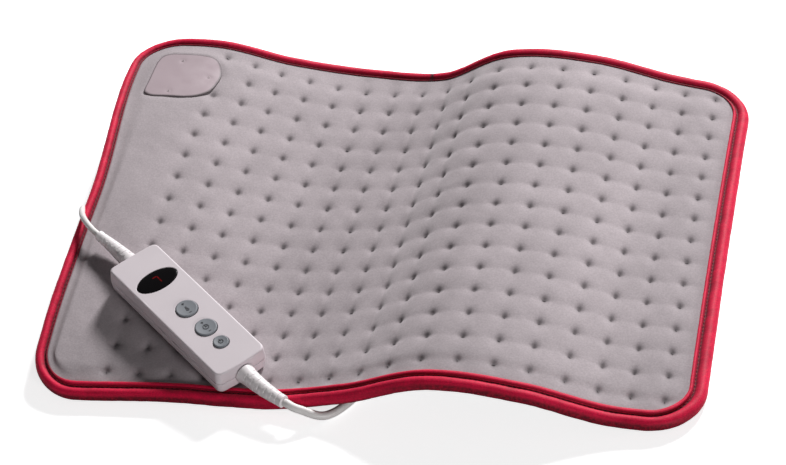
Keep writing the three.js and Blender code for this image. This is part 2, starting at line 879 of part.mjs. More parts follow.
const gripFront = socketMouth - clearance - plugGripLength;
const padLeadPlugExit = gripFront - plugReliefLength;

function makeConnectorPlug() {
  const nose = block(
    centred(plugNose[0]),
    [socketMouth - socketWall, noseEnd],
    around(plugLevel, plugNose[1]),
  );
  const grip = block(
    centred(plugGrip[0]),
    [gripFront, socketMouth - clearance],
    around(plugLevel, plugGrip[1]),
  );
  const relief = new THREE.CylinderGeometry(
    plugReliefRadius,
    padLeadDiameter / 2 + reliefTipWall,
    plugReliefLength + overrun,
    smallSides,
  );
  relief.translate(0, gripFront - (plugReliefLength - overrun) / 2, plugLevel);
  const sockets = pinMiddles.map((x) =>
    socketPinHole(x, socketPinRadius + clearance, [
      noseEnd - socketPinReach - clearance,
      noseEnd + overrun,
    ]),
  );
  return onPad(cut(join(nose, grip, toSolid(relief)), ...sockets), patchPlace);
}

// A point of the layer h over the pad's cells, on the same flat facets as the covers' faces
function layerPoint(s, t, h) {
  const column = THREE.MathUtils.clamp(
    Math.floor((s - padCornerRadius) / cellLength),
    0,
    longSideCells - 1,
  );
  const row = THREE.MathUtils.clamp(
    Math.floor((t - padCornerRadius) / cellWidth),
    0,
    shortSideCells - 1,
  );
  const [left, front] = cellCorner(column, row);
  const u = (s - left) / cellLength;
  const w = (t - front) / cellWidth;
  const near = padPoint(left, front, h);
  const far = padPoint(left + cellLength, front + cellWidth, h);
  const third = u > w ? [left + cellLength, front] : [left, front + cellWidth];
  const side = padPoint(...third, h);
  const [small, large] = u > w ? [w, u] : [u, w];
  return near
    .multiplyScalar(1 - large)
    .addScaledVector(side, large - small)
    .addScaledVector(far, small);
}

// A path that stops at each of its points, so that a section swept along it does too
class SteppedPath extends THREE.Curve {
  constructor(points) {
    super();
    this.points = points;
  }
  getPoint(share, target = new Vector3()) {
    const place = share * (this.points.length - 1);
    const from = Math.min(Math.floor(place), this.points.length - 2);
    return target.lerpVectors(this.points[from], this.points[from + 1], place - from);
  }
  getPointAt(share, target) {
    return this.getPoint(share, target);
  }
  getTangentAt(share, target = new Vector3()) {
    const last = this.points.length - 1;
    const here = Math.round(share * last);
    const before = this.points[Math.max(here - 1, 0)];
    const after = this.points[Math.min(here + 1, last)];
    return target.subVectors(after, before).normalize();
  }
}

function tubeAlong(points, radius, sides) {
  const section = new THREE.Shape();
  for (let k = 0; k < sides; k++) {
    const angle = (2 * Math.PI * k) / sides;
    const corner = [radius * Math.cos(angle), radius * Math.sin(angle)];
    if (k === 0) section.moveTo(...corner);
    else section.lineTo(...corner);
  }
  return new THREE.ExtrudeGeometry(section, {
    steps: points.length - 1,
    bevelEnabled: false,
    extrudePath: new SteppedPath(points),
  });
}

// The heating wire goes up and down the cells, then back along the rear to its start
function wireRoute() {
  const left = cellLength + padCornerRadius;
  const spacing = cellLength * wireEvery;
  const runs = Math.floor((longSideCells - 1) / wireEvery) + 1;
  const evenRuns = runs - (runs % 2);
  const rowsUp = shortSideCells - 1;
  const route = [];
  const line = (s, fromRow, toRow) => {
    const step = Math.sign(toRow - fromRow);
    for (let row = fromRow; row !== toRow + step; row += step) {
      route.push([s, cellCorner(0, row)[1]]);
    }
  };
  for (let run = 0; run < evenRuns; run++) {
    const s = left + spacing * run;
    const last = run === evenRuns - 1;
    if (run % 2 === 0) line(s, rowsUp, 0);
    else line(s, 0, last ? shortSideCells : rowsUp);
    if (!last) route.push([s + cellLength, route[route.length - 1][1]]);
  }
  const rear = cellCorner(0, shortSideCells)[1];
  const ends = left + spacing * (evenRuns - 1);
  for (let s = ends - cellLength; s > left + cellLength / 2; s -= cellLength) {
    route.push([s, rear]);
  }
  return route;
}

// Rounds the square turns of a flat route
function roundedRoute(route, radius) {
  const flat = [];
  route.forEach(([s, t], k) => {
    const here = new Vector2(s, t);
    const before = new Vector2(...(route[k - 1] ?? route[k]));
    const after = new Vector2(...(route[k + 1] ?? route[k]));
    const came = here.clone().sub(before).normalize();
    const goes = after.sub(here).normalize();
    if (Math.abs(came.cross(goes)) < weldGap) {
      flat.push(here);
      return;
    }
    const corner = here.clone().addScaledVector(came, -radius).addScaledVector(goes, radius);
    for (let step = 0; step <= wireTurnSteps; step++) {
      const angle = (Math.PI / 2) * (step / wireTurnSteps);
      const round = corner.clone().addScaledVector(came, radius * Math.sin(angle));
      flat.push(round.addScaledVector(goes, -radius * Math.cos(angle)));
    }
  });
  return flat;
}

function makeHeatingWire() {
  const flat = roundedRoute(wireRoute(), wireTurnRadius);
  const points = flat.map(({ x, y }) => layerPoint(x, y, wireMiddle));
  return tubeAlong(points, wireDiameter / 2, wireSides);
}

function makeThermalFuse() {
  const [width, length, height] = thermalFuse;
  const [s, row] = [padCornerRadius + cellLength, shortSideCells - 1];
  const start = cellCorner(0, row)[1] + clearance;
  const ring = (t, size) => {
    const low = wireMiddle - (height * size) / 2;
    const high = wireMiddle + (height * size) / 2;
    const [left, right] = around(s, width * size);
    return [
      layerPoint(right, t, low),
      layerPoint(left, t, low),
      layerPoint(left, t, high),
      layerPoint(right, t, high),
    ];
  };
  return loft([ring(start, 1), ring(start + length, 1)]);
}

// Controller housing: rings of its plan outline at a level, drawn in by inset
const housingHalf = housingHeight / 2;
const housingOutline = (() => {
  const half = housingWidth / 2;
  const right = housingLength / 2 - rightBulge;
  const left = leftBulge - housingLength / 2;
  const shape = new THREE.Shape();
  shape.moveTo(left + leftCornerRadius, -half);
  shape.lineTo(right - rightCornerRadius, -half);
  shape.quadraticCurveTo(right, -half, right, rightCornerRadius - half);
  shape.quadraticCurveTo(housingLength / 2 + rightBulge, 0, right, half - rightCornerRadius);
  shape.quadraticCurveTo(right, half, right - rightCornerRadius, half);
  shape.lineTo(left + leftCornerRadius, half);
  shape.quadraticCurveTo(left, half, left, half - leftCornerRadius);
  shape.quadraticCurveTo(-housingLength / 2 - leftBulge, 0, left, leftCornerRadius - half);
  shape.quadraticCurveTo(left, -half, left + leftCornerRadius, -half);
  const points = shape.getPoints(edgeRoundSteps);
  points.pop();
  return points;
})();

function housingRing(inset, z) {
  const along = 1 - (2 * inset) / housingLength;
  const across = 1 - (2 * inset) / housingWidth;
  return housingOutline.map(({ x, y }) => new Vector3(x * along, y * across, z));
}

function roundedLevels(radius, top) {
  const levels = [];
  for (let k = 0; k <= edgeRoundSteps; k++) {
    const angle = ((Math.PI / 2) * k) / edgeRoundSteps;
    const inset = housingDraft + radius * (1 - Math.cos(angle));
    levels.push([inset, top - radius * (1 - Math.sin(angle))]);
  }
  return levels;
}

const partingGap = clearance / 2;
const wallLevel = housingHalf - housingWall;
const bossPlaces = [-1, 1].flatMap((side) =>
  [-1, 1].map((aside) => [
    side * (housingLength / 2 - bossInset[0]),
    aside * (housingWidth / 2 - bossInset[1]),
  ]),
);
const boardTop = boardLevel + boardThickness;
const boardLength = housingLength - 2 * (bossInset[0] + bossRadius + clearance);
const boardWidth = housingWidth - 2 * (housingWall + boardEdge);
const flangeUpper = wallLevel - flangeToWall;
const flangeLower = flangeUpper - buttonFlangeHeight;
const pivotLevel = flangeLower - pivotRidge;
const barTop = pivotLevel - clearance;
const barBottom = barTop - pivotBarWidth;
const legInner = rockerRadius + buttonFlange + clearance;
const reliefHole = reliefNeckRadius + clearance;

function sideBore(radius, [fromX, toX]) {
  const geometry = new THREE.CylinderGeometry(radius, radius, toX - fromX, roundSides / 2);
  geometry.rotateZ(Math.PI / 2);
  geometry.translate((fromX + toX) / 2, 0, 0);
  return toSolid(geometry);
}

const reliefBores = () => [sideBore(reliefHole, centred(housingLength + 2 * overrun))];

function makeUpperShell() {
  const outside = [[0, partingGap], ...roundedLevels(topEdgeRound, housingHalf)];
  const inside = [
    [housingWall, partingGap - overrun],
    [housingWall, housingHalf - topEdgeRound],
    [housingWall + 2 * housingDraft, wallLevel],
  ];
  const outer = toSolid(loft(outside.map(([inset, z]) => housingRing(inset, z))));
  const inner = toSolid(loft(inside.map(([inset, z]) => housingRing(inset, z))));
  const through = [wallLevel - overrun, housingHalf + overrun];
  const holes = [
    oval(windowHalfLength + clearance, windowHalfWidth + clearance, through, windowPlace),
    post(rockerRadius + buttonGap, through, [levelPlace, 0], roundSides),
    post(rockerRadius + buttonGap, through, [timerPlace, 0], roundSides),
    post(powerRadius + buttonGap, through, [powerPlace, 0], roundSides),
  ];
  const bars = [levelPlace, timerPlace].flatMap((x) => {
    const outerLeg = legInner + pivotLegThickness;
    const bar = block(around(x, pivotBarWidth), centred(2 * outerLeg), [barBottom, barTop]);
    const legs = [-1, 1].map((side) =>
      block(around(x, pivotBarWidth), around(side * (legInner + outerLeg) / 2, pivotLegThickness), [
        barBottom,
        wallLevel + housingWall / 2,
      ]),
    );
    return [bar, ...legs];
  });
  const bosses = bossPlaces.map((place) =>
    post(bossRadius, [partingGap, wallLevel + housingWall / 2], place),
  );
  const screwHoles = bossPlaces.map((place) =>
    post(screwHoleRadius, [partingGap - overrun, screwReach + clearance], place),
  );
  const shell = cut(outer, inner, ...holes);
  return cut(join(shell, ...bars, ...bosses), ...screwHoles, ...reliefBores());
}

function makeLowerShell() {
  const outside = roundedLevels(bottomEdgeRound, housingHalf).map(([inset, z]) => [inset, -z]);
  outside.reverse();
  outside.push([0, -partingGap]);
  const inside = [
    [housingWall + 2 * housingDraft, -wallLevel],
    [housingWall, bottomEdgeRound - housingHalf],
    [housingWall, overrun - partingGap],
  ];
  const outer = toSolid(loft(outside.map(([inset, z]) => housingRing(inset, z))));
  const inner = toSolid(loft(inside.map(([inset, z]) => housingRing(inset, z))));
  const floor = -wallLevel - housingWall / 2;
  const bosses = bossPlaces.map((place) => post(bossRadius, [floor, -partingGap], place));
  const boardPosts = [-1, 1].flatMap((side) =>
    [-1, 1].map((aside) =>
      post(boardPostRadius, [floor, boardLevel - clearance], [
        side * (boardLength / 2 - boardPostInset[0]),
        aside * (boardWidth / 2 - boardPostInset[1]),
      ]),
    ),
  );
  const screwHoles = bossPlaces.flatMap((place) => [
    post(screwHoleRadius, [-housingHalf, overrun], place),
    post(
      screwHeadRadius + clearance,
      [-housingHalf - overrun, screwHeadDepth - housingHalf],
      place,
    ),
  ]);
  const shell = join(cut(outer, inner), ...bosses, ...boardPosts);
  return cut(shell, ...screwHoles, ...reliefBores());
}

function makeDisplayWindow() {
  const top = housingHalf - windowRecess;
  const flangeTopLevel = wallLevel - clearance;
  const lens = oval(windowHalfLength, windowHalfWidth, [flangeTopLevel - overrun / 2, top]);
  const flange = oval(
    windowHalfLength + windowFlange,
    windowHalfWidth + windowFlange,
    [flangeTopLevel - windowFlangeHeight, flangeTopLevel],
  );
  return join(lens, flange);
}

function makeDisplayModule() {
  const top = wallLevel - windowFlangeHeight - 2 * clearance;
  return block(centred(displayBlock[0]), centred(displayBlock[1]), [boardTop + clearance, top]);
}

// A button's cap with its flange, turned, from the flange's underside up
function capProfile(radius, flange) {
  const top = housingHalf + buttonRise;
  return [
    [0, flangeLower],
    [radius + flange, flangeLower],
    [radius + flange, flangeUpper],
    [radius, flangeUpper],
    [radius, top - buttonRound],
    [radius - buttonRound, top],
    [0, top - buttonDish],
  ];
}

const switchTop = boardTop + clearance + switchBody[2] + switchPlungerHeight;

function makeRocker() {
  const cap = turned(capProfile(rockerRadius, buttonFlange));
  const plungers = [-1, 1].map((side) =>
    post(
      rockerPlungerRadius,
      [switchTop + rockerPlungerGap, flangeLower + buttonFlangeHeight / 2],
      [side * rockerReach, 0],
    ),
  );
  const ridge = new THREE.CylinderGeometry(
    pivotRidge,
    pivotRidge,
    2 * rockerRadius,
    smallSides / 2,
  );
  ridge.translate(0, 0, flangeLower);
  return join(cap, ...plungers, toSolid(ridge));
}

function makePowerButton() {
  const cap = turned(capProfile(powerRadius, powerFlange));
  const plunger = [switchTop + powerTravelGap, flangeLower + buttonFlangeHeight / 2];
  return join(cap, post(powerPlungerRadius, plunger));
}

function makeSwitch() {
  const low = boardTop + clearance;
  const body = block(centred(switchBody[0]), centred(switchBody[1]), [low, low + switchBody[2]]);
  return join(body, post(switchPlungerRadius, [low + switchBody[2] / 2, switchTop]));
}

function onBoard([length, width, height]) {
  const low = boardTop + clearance;
  return block(centred(length), centred(width), [low, low + height]);
}

function makeFuse() {
  const geometry = new THREE.CylinderGeometry(fuseRadius, fuseRadius, fuseLength, smallSides);
  geometry.translate(0, 0, boardTop + clearance + fuseRadius);
  return geometry;
}

function makeCaseScrew() {
  const headBottom = screwHeadDepth - housingHalf - clearance - screwHeadHeight;
  const headTop = headBottom + screwHeadHeight;
  return turned(
    [
      [0, headBottom],
      [screwHeadRadius, headBottom],
      [screwHeadRadius, headTop],
      [screwRadius, headTop],
      [screwRadius, screwReach - screwPoint],
      [0, screwReach],
    ],
    smallSides,
  );
}

// Middle line of a strain relief, which bends more and more towards its tip
function reliefMiddle(x, [aside, rise]) {
  const share = Math.max(x, 0) / reliefLength;
  const middle = new Vector3(x, aside * share ** 2, rise * share ** 2);
  const slope = (2 * share) / reliefLength;
  return { middle, way: new Vector3(1, aside * slope, rise * slope).normalize() };
}

// A strain relief along +x from the housing's end, with its collar inside the wall
function makeRelief(tipRadius, bend, bulge) {
  const inner = -housingWall - clearance - bulge * collarSetBackShare - reliefCollarLength;
  const stations = [
    [inner, reliefCollarRadius],
    [inner + reliefCollarLength, reliefCollarRadius],
    [inner + reliefCollarLength, reliefNeckRadius],
    [clearance, reliefNeckRadius],
    ...reliefStepShares.map((share, k) => [
      clearance + share * (reliefLength - clearance),
      tipRadius + (reliefBaseRadius - tipRadius) * reliefTaperShares[k],
    ]),
  ];
  const rings = stations.map(([x, radius]) => {
    const { middle, way } = reliefMiddle(x, bend);
    const across = new Vector3(0, 0, 1).cross(way).normalize();
    const up = way.clone().cross(across);
    const ring = [];
    for (let k = 0; k < reliefSides; k++) {
      const angle = (2 * Math.PI * k) / reliefSides;
      const point = middle.clone().addScaledVector(across, radius * Math.cos(angle));
      ring.push(point.addScaledVector(up, radius * Math.sin(angle)));
    }
    return ring;
  });
  return loft(rings);
}

// The controller's place: turned, tilted and set down on the pad
const heatingPad = new THREE.Group();
const controller = new THREE.Group();
controller.rotation.set(
  0,
  THREE.MathUtils.degToRad(controllerPitch),
  THREE.MathUtils.degToRad(controllerYaw),
  "ZYX",
);
const lift = housingRing(housingDraft + bottomEdgeRound, -housingHalf)
  .concat(housingRing(housingDraft, bottomEdgeRound - housingHalf))
  .map((point) => {
    const turnedPoint = point.applyEuler(controller.rotation);
    const [x, y] = [turnedPoint.x + controllerPlace[0], turnedPoint.y + controllerPlace[1]];
    return padTopHeight(x, y) - turnedPoint.z;
  });
controller.position.set(...controllerPlace, Math.max(...lift) + controllerSeat);
controller.updateMatrixWorld(true);
heatingPad.add(controller);

function addPiece(name, piece, finish, parent = heatingPad, place = [0, 0, 0]) {
  const geometry = piece.isBufferGeometry ? piece : toGeometry(piece);
  const mesh = new THREE.Mesh(geometry, finishes[finish]);
  mesh.name = name;
  mesh.position.set(...place);
  parent.add(mesh);
  return mesh;
}

// The pad
addPiece("top_cover", makeTopCover(), "velvet");
addPiece("bottom_cover", makeBottomCover(), "underVelvet");
addPiece("fleece_core", makeFleeceCore(), "fleece");
addPiece("heating_wire", makeHeatingWire(), "wire");
addPiece("thermal_fuse", makeThermalFuse(), "component");
const edgeBinding = addPiece("edge_binding", makeEdgeBinding(), "binding");
addPiece("corner_patch", makeCornerPatch(), "patch");
rivetPlaces.forEach((place, k) => addPiece(`patch_rivet_${k + 1}`, makeRivet(place), "steel"));
addPiece("connector_socket", makeConnectorSocket(), "component");
pinMiddles.forEach((x, k) => addPiece(`socket_pin_${k + 1}`, makeSocketPin(x), "steel"));
addPiece("connector_plug", makeConnectorPlug(), "lead");

// The controller
addPiece("upper_shell", makeUpperShell(), "housing", controller);
addPiece("lower_shell", makeLowerShell(), "housing", controller);
addPiece("display_window", makeDisplayWindow(), "lens", controller, [windowPlace, 0, 0]);
addPiece("display_module", makeDisplayModule(), "component", controller, [windowPlace, 0, 0]);
addPiece("level_button", makeRocker(), "button", controller, [levelPlace, 0, 0]);
addPiece("timer_button", makeRocker(), "button", controller, [timerPlace, 0, 0]);
addPiece("power_button", makePowerButton(), "button", controller, [powerPlace, 0, 0]);
addPiece(
  "circuit_board",
  block(centred(boardLength), centred(boardWidth), [boardLevel, boardTop]),
  "board",
  controller,
);
[
  levelPlace - rockerReach,
  levelPlace + rockerReach,
  timerPlace - rockerReach,
  timerPlace + rockerReach,
  powerPlace,
].forEach((x, k) => addPiece(`push_switch_${k + 1}`, makeSwitch(), "component", controller, [x, 0, 0]));
const partsPlace = windowPlace + partsAfterWindow;
addPiece("film_capacitor", onBoard(capacitorBlock), "capacitor", controller, [
  partsPlace,
  -partsAside,
  0,
]);
addPiece("triac", onBoard(triacBlock), "component", controller, [partsPlace, partsAside, 0]);
addPiece("mains_fuse", makeFuse(), "steel", controller, [windowPlace + fuseAfterWindow, 0, 0]);
addPiece("microcontroller", onBoard(processorBlock), "component", controller, [
  (levelPlace + timerPlace) / 2,
  processorAside,
  0,
]);
bossPlaces.forEach((place, k) =>
  addPiece(`case_screw_${k + 1}`, makeCaseScrew(), "steel", controller, [...place, 0]),
);
const reliefPlace = housingLength / 2;
const mainsRelief = addPiece(
  "mains_lead_relief",
  makeRelief(mainsDiameter / 2 + reliefTipWall, mainsReliefBend, rightBulge),
  "lead",
  controller,
  [reliefPlace, 0, 0],
);
const padRelief = addPiece(
  "pad_lead_relief",
  makeRelief(padLeadDiameter / 2 + reliefTipWall, padReliefBend, leftBulge),
  "lead",
  controller,
  [-reliefPlace, 0, 0],
);
padRelief.rotation.z = Math.PI;

// Where a lead leaves its relief, and the way it goes there
function reliefExit(relief, bend) {
  relief.updateMatrixWorld(true);
  const { middle, way } = reliefMiddle(reliefLength, bend);
  const tip = middle.addScaledVector(way, clearance);
  return [tip.applyMatrix4(relief.matrixWorld), way.transformDirection(relief.matrixWorld)];
}

// Wound coil: it spirals in on the lower layer, climbs at the turn, and spirals out again
function coilRoute([x, y], meanRadius, turns, diameter) {
  const pitch = diameter + coilGap;
  const inner = meanRadius - (pitch * turns) / 4;
  const base = diameter / 2 + tieThickness + clearance;
  const points = [];
  for (let k = 0; k <= turns * loopSteps; k++) {
    const fromTurn = k / loopSteps - turns / 2;
    const climb = THREE.MathUtils.smoothstep(fromTurn, -1 / 4, 1 / 4);
    const radius = inner + pitch * Math.abs(fromTurn);
    const angle = 2 * Math.PI * (k / loopSteps) - Math.PI / 2;
    points.push(
      new Vector3(
        x + radius * Math.cos(angle),
        y + radius * Math.sin(angle),
        base + pitch * climb,
      ),
    );
  }
  const first = points[0].clone().sub(new Vector3(diameter, 0, 0));
  const last = points[points.length - 1].clone().sub(new Vector3(diameter, 0, 0));
  return [first, ...points, last];
}

function leastGap(points, diameter) {
  let least = Infinity;
  points.forEach((from, i) => {
    points.slice(i + loopSteps / 2).forEach((to) => {
      least = Math.min(least, from.distanceTo(to) - diameter);
    });
  });
  return least;
}

function addCoil(name, place, meanRadius, turns, diameter) {
  const route = coilRoute(place, meanRadius, turns, diameter);
  const gap = leastGap(route, diameter);
  console.log(`${name}: least gap to itself ${gap.toFixed(2)} mm, over ${leastCoilGap} mm`);
  const mesh = addPiece(name, tubeAlong(route, diameter / 2, coilSides), "lead");
  mesh.userData.route = route;
  return route;
}

// The tie goes round all the turns on the coil's right side
function addTie(name, [x, y], meanRadius, turns, diameter) {
  const pitch = diameter + coilGap;
  const reach = (pitch * turns) / 4 + diameter / 2 + clearance;
  const height = tieThickness + 2 * clearance + diameter + pitch;
  const corner = diameter / 2;
  const frame = (path, grow) => {
    const half = reach + grow;
    const [low, high] = [tieThickness - grow, height + grow];
    path.moveTo(corner - half, low);
    path.lineTo(half - corner, low);
    path.quadraticCurveTo(half, low, half, low + corner);
    path.lineTo(half, high - corner);
    path.quadraticCurveTo(half, high, half - corner, high);
    path.lineTo(corner - half, high);
    path.quadraticCurveTo(-half, high, -half, high - corner);
    path.lineTo(-half, low + corner);
    path.quadraticCurveTo(-half, low, corner - half, low);
    return path;
  };
  const shape = frame(new THREE.Shape(), tieThickness);
  shape.holes.push(frame(new THREE.Path(), 0));
  const tie = new THREE.ExtrudeGeometry(shape, {
    depth: tieWidth,
    bevelEnabled: false,
    curveSegments: edgeRoundSteps,
  });
  tie.rotateX(Math.PI / 2);
  addPiece(name, tie, "component", heatingPad, [x + meanRadius, y + tieWidth / 2, 0]);
}

// A free stretch of lead through points chosen by hand
function addLead(name, points, diameter) {
  const sides = diameter < mainsDiameter ? thinLeadSides : leadSides;
  const mesh = addPiece(name, tubeAlong(points, diameter / 2, sides), "lead");
  mesh.userData.route = points;
}

const byHand = (list) => list.map((point) => new Vector3(...point));
const justOff = (point, way, gap) => point.clone().addScaledVector(way, gap);
const leftward = new Vector3(-1, 0, 0);

const padCoil = addCoil("pad_lead_coil", padCoilPlace, padCoilRadius, padCoilTurns, padLeadDiameter);
addTie("pad_lead_tie", padCoilPlace, padCoilRadius, padCoilTurns, padLeadDiameter);
const [padExit, padWay] = reliefExit(padRelief, padReliefBend);
addLead(
  "pad_lead",
  [
    padExit,
    justOff(padExit, padWay, padLeadDiameter / 2),
    ...byHand(padLeadOver),
    justOff(padCoil[0], leftward, clearance),
  ],
  padLeadDiameter,
);
const socketFrame = padFrame(...patchPlace);
const plugExit = new Vector3(0, padLeadPlugExit - clearance, plugLevel).applyMatrix4(socketFrame);
const plugWay = new Vector3(0, -1, 0).transformDirection(socketFrame);
addLead(
  "pad_lead_tail",
  [
    justOff(padCoil[padCoil.length - 1], leftward, clearance),
    ...byHand(padLeadUp),
    justOff(plugExit, plugWay, padLeadDiameter),
    plugExit,
  ],
  padLeadDiameter,
);

const mainsCoil = addCoil(
  "mains_lead_coil",
  mainsCoilPlace,
  mainsCoilRadius,
  mainsCoilTurns,
  mainsDiameter,
);
addTie("mains_lead_tie", mainsCoilPlace, mainsCoilRadius, mainsCoilTurns, mainsDiameter);
const [mainsExit, mainsWay] = reliefExit(mainsRelief, mainsReliefBend);
addLead(
  "mains_lead",
  [
    mainsExit,
    justOff(mainsExit, mainsWay, mainsDiameter / 2),
    ...byHand(mainsLeadIn),
    justOff(mainsCoil[0], leftward, clearance),
  ],
  mainsDiameter,
);
addLead(
  "mains_lead_tail",
  [
    justOff(mainsCoil[mainsCoil.length - 1], leftward, clearance),
    ...byHand(mainsLeadOut),
    new Vector3(plugPlace[0] - mainsDiameter, plugPlace[1], plugThickness / 2),
    new Vector3(plugPlace[0] - clearance, plugPlace[1], plugThickness / 2),
  ],
  mainsDiameter,
);

// The mains plug lies flat, its pins to the right
function makeMainsPlug() {
  const body = new THREE.Shape();
  const side = plugOutlineShares.map(([x, y]) => [x * plugLength, y * plugWidth]);
  const round = [...side, ...side.slice().reverse().map(([x, y]) => [x, -y])];
  round.reverse().forEach(([x, y], k) => {
    if (k === 0) body.moveTo(x, y);
    else body.lineTo(x, y);
  });
  const flat = new THREE.ExtrudeGeometry(body, {
    depth: plugThickness - 2 * plugBevel,
    bevelThickness: plugBevel,
    bevelSize: plugBevel,
    bevelOffset: -plugBevel,
    bevelSegments: 2,
  });
  flat.translate(0, 0, plugBevel - plugThickness / 2);
  const relief = new THREE.CylinderGeometry(
    mainsDiameter / 2 + reliefTipWall,
    plugCordEndRadius,
    plugReliefRun + overrun,
    smallSides,
  );
  relief.rotateZ(Math.PI / 2);
  relief.translate((overrun - plugReliefRun) / 2, 0, 0);
  const holes = [-1, 1].map((hand) => {
    const hole = new THREE.CylinderGeometry(
      pinRadius + clearance,
      pinRadius + clearance,
      pinSeat + overrun,
      smallSides,
    );
    hole.rotateZ(Math.PI / 2);
    hole.translate(plugLength + (overrun - pinSeat) / 2, (hand * pinSpacing) / 2, 0);
    return toSolid(hole);
  });
  return cut(join(toSolid(flat), toSolid(relief)), ...holes);
}

function makePlugPin() {
  const pin = turned(
    [
      [0, clearance - pinSeat],
      [pinRadius, clearance - pinSeat],
      [pinRadius, pinLength - pinRadius],
      [pinRadius / 2, pinLength],
      [0, pinLength],
    ],
    smallSides,
  );
  return toGeometry(pin).rotateY(Math.PI / 2);
}

const plugOrigin = [plugPlace[0] + plugReliefRun, plugPlace[1], plugThickness / 2];
addPiece("mains_plug", makeMainsPlug(), "lead", heatingPad, plugOrigin);
[-1, 1].forEach((hand, k) =>
  addPiece(`plug_pin_${k + 1}`, makePlugPin(), "steel", heatingPad, [
    plugOrigin[0] + plugLength,
    plugOrigin[1] + (hand * pinSpacing) / 2,
    plugOrigin[2],
  ]),
);

// The origin lies under the middle of the pad
const padBox = new THREE.Box3().setFromObject(edgeBinding);
const padMiddle = padBox.getCenter(new Vector3());
heatingPad.position.set(-padMiddle.x, -padMiddle.y, 0);

export default heatingPad;
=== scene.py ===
import math

import bmesh
import bpy
import numpy as np
from mathutils import Matrix, Vector, geometry, noise


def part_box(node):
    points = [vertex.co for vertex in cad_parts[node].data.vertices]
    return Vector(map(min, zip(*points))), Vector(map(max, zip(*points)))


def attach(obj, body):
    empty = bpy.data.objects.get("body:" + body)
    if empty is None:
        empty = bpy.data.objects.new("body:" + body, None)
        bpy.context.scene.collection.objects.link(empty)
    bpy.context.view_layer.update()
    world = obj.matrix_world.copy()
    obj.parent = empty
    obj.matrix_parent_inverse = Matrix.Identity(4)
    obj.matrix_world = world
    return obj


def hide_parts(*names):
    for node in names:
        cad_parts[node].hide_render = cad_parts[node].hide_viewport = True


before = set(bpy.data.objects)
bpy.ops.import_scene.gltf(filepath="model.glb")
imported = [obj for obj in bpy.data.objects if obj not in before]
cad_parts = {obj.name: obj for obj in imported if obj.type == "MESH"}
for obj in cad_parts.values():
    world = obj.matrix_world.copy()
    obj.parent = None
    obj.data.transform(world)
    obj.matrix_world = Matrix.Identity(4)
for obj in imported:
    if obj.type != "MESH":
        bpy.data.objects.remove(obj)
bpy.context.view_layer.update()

scene = bpy.context.scene
scene.view_settings.view_transform = "Standard"
mm = 0.001
partMiddle = Vector((-2.476, 1.309, 0)) * mm  # from the pad's own middle to the part's origin


# the camera stands in front and to the right, well above, and is turned a little
viewCamera = {
    "place": (0.39652, -1.23179, 1.0826),
    "elevation": 39.652,
    "yaw": -18.027,
    "roll": -9.716,
    "lens": 113.72,
}


def makeCamera(spec):
    tilt = math.radians(spec["elevation"])
    level = Matrix(
        (
            (1, 0, 0),
            (0, -math.sin(tilt), -math.cos(tilt)),
            (0, math.cos(tilt), -math.sin(tilt)),
        )
    )
    yaw = Matrix.Rotation(math.radians(spec["yaw"]), 3, "Z")
    roll = Matrix.Rotation(math.radians(spec["roll"]), 3, "Z")
    right, down, ahead = roll @ level @ yaw
    data = bpy.data.cameras.new("photoCamera")
    data.lens = spec["lens"]
    data.sensor_width = 36
    data.clip_start = 0.05
    data.clip_end = 50
    camera = bpy.data.objects.new("photoCamera", data)
    scene.collection.objects.link(camera)
    axes = Matrix((right, -down, -ahead)).transposed()
    camera.matrix_world = Matrix.Translation(spec["place"]) @ axes.to_4x4()
    scene.camera = camera


makeCamera(viewCamera)
print("camera set")


# small helpers for meshes
def addMesh(name, verts, faces, smooth=True):
    mesh = bpy.data.meshes.new(name)
    mesh.from_pydata([tuple(v) for v in verts], [], faces)
    mesh.update()
    piece = bpy.data.objects.new(name, mesh)
    scene.collection.objects.link(piece)
    if smooth:
        mesh.shade_smooth()
    return piece


def finishPiece(piece, material, body, slot, *nodes):
    if material is not None:
        piece.data.materials.clear()
        piece.data.materials.append(material)
    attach(piece, body)
    if nodes:
        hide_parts(*nodes)
    return piece


def setAttribute(piece, name, kind, values):
    # one value, or one vector, for each point of the mesh
    layer = piece.data.attributes.new(name, kind, "POINT")
    field = "vector" if kind == "FLOAT_VECTOR" else "value"
    layer.data.foreach_set(field, np.asarray(values, np.float32).ravel())


def sharpen(piece, degrees=35):
    piece.data.shade_smooth()
    piece.data.set_sharp_from_angle(angle=math.radians(degrees))


def circleRing(x, radiusX, radiusY, z, count):
    ring = []
    for k in range(count):
        turn = 2 * math.pi * k / count
        ring.append(Vector((x + radiusX * math.cos(turn), radiusY * math.sin(turn), z)))
    return ring


class ShellBuilder:
    # gathers rings of points and the faces between them
    def __init__(self):
        self.verts = []
        self.faces = []

    def ring(self, points):
        start = len(self.verts)
        self.verts.extend(points)
        return list(range(start, start + len(points)))

    def bridge(self, low, high):
        # a ring of one point is a pole
        count = max(len(low), len(high))
        for k in range(count):
            n = (k + 1) % count
            if len(low) == 1:
                self.faces.append((low[0], high[n], high[k]))
            elif len(high) == 1:
                self.faces.append((low[k], low[n], high[0]))
            else:
                self.faces.append((low[k], low[n], high[n], high[k]))

    def loft(self, rings):
        for low, high in zip(rings, rings[1:]):
            self.bridge(low, high)

    def plate(self, outer, holes, up):
        loops = [[self.verts[i] for i in loop] for loop in [outer, *holes]]
        indices = [i for loop in [outer, *holes] for i in loop]
        for tri in geometry.tessellate_polygon(loops):
            a, b, c = (indices[i] for i in tri)
            normal = (self.verts[b] - self.verts[a]).cross(self.verts[c] - self.verts[a])
            self.faces.append((a, b, c) if (normal.z > 0) == up else (a, c, b))

    def build(self, name, place=Matrix.Identity(4), degrees=32):
        piece = addMesh(name, [place @ v for v in self.verts], self.faces)
        sharpen(piece, degrees)
        return piece


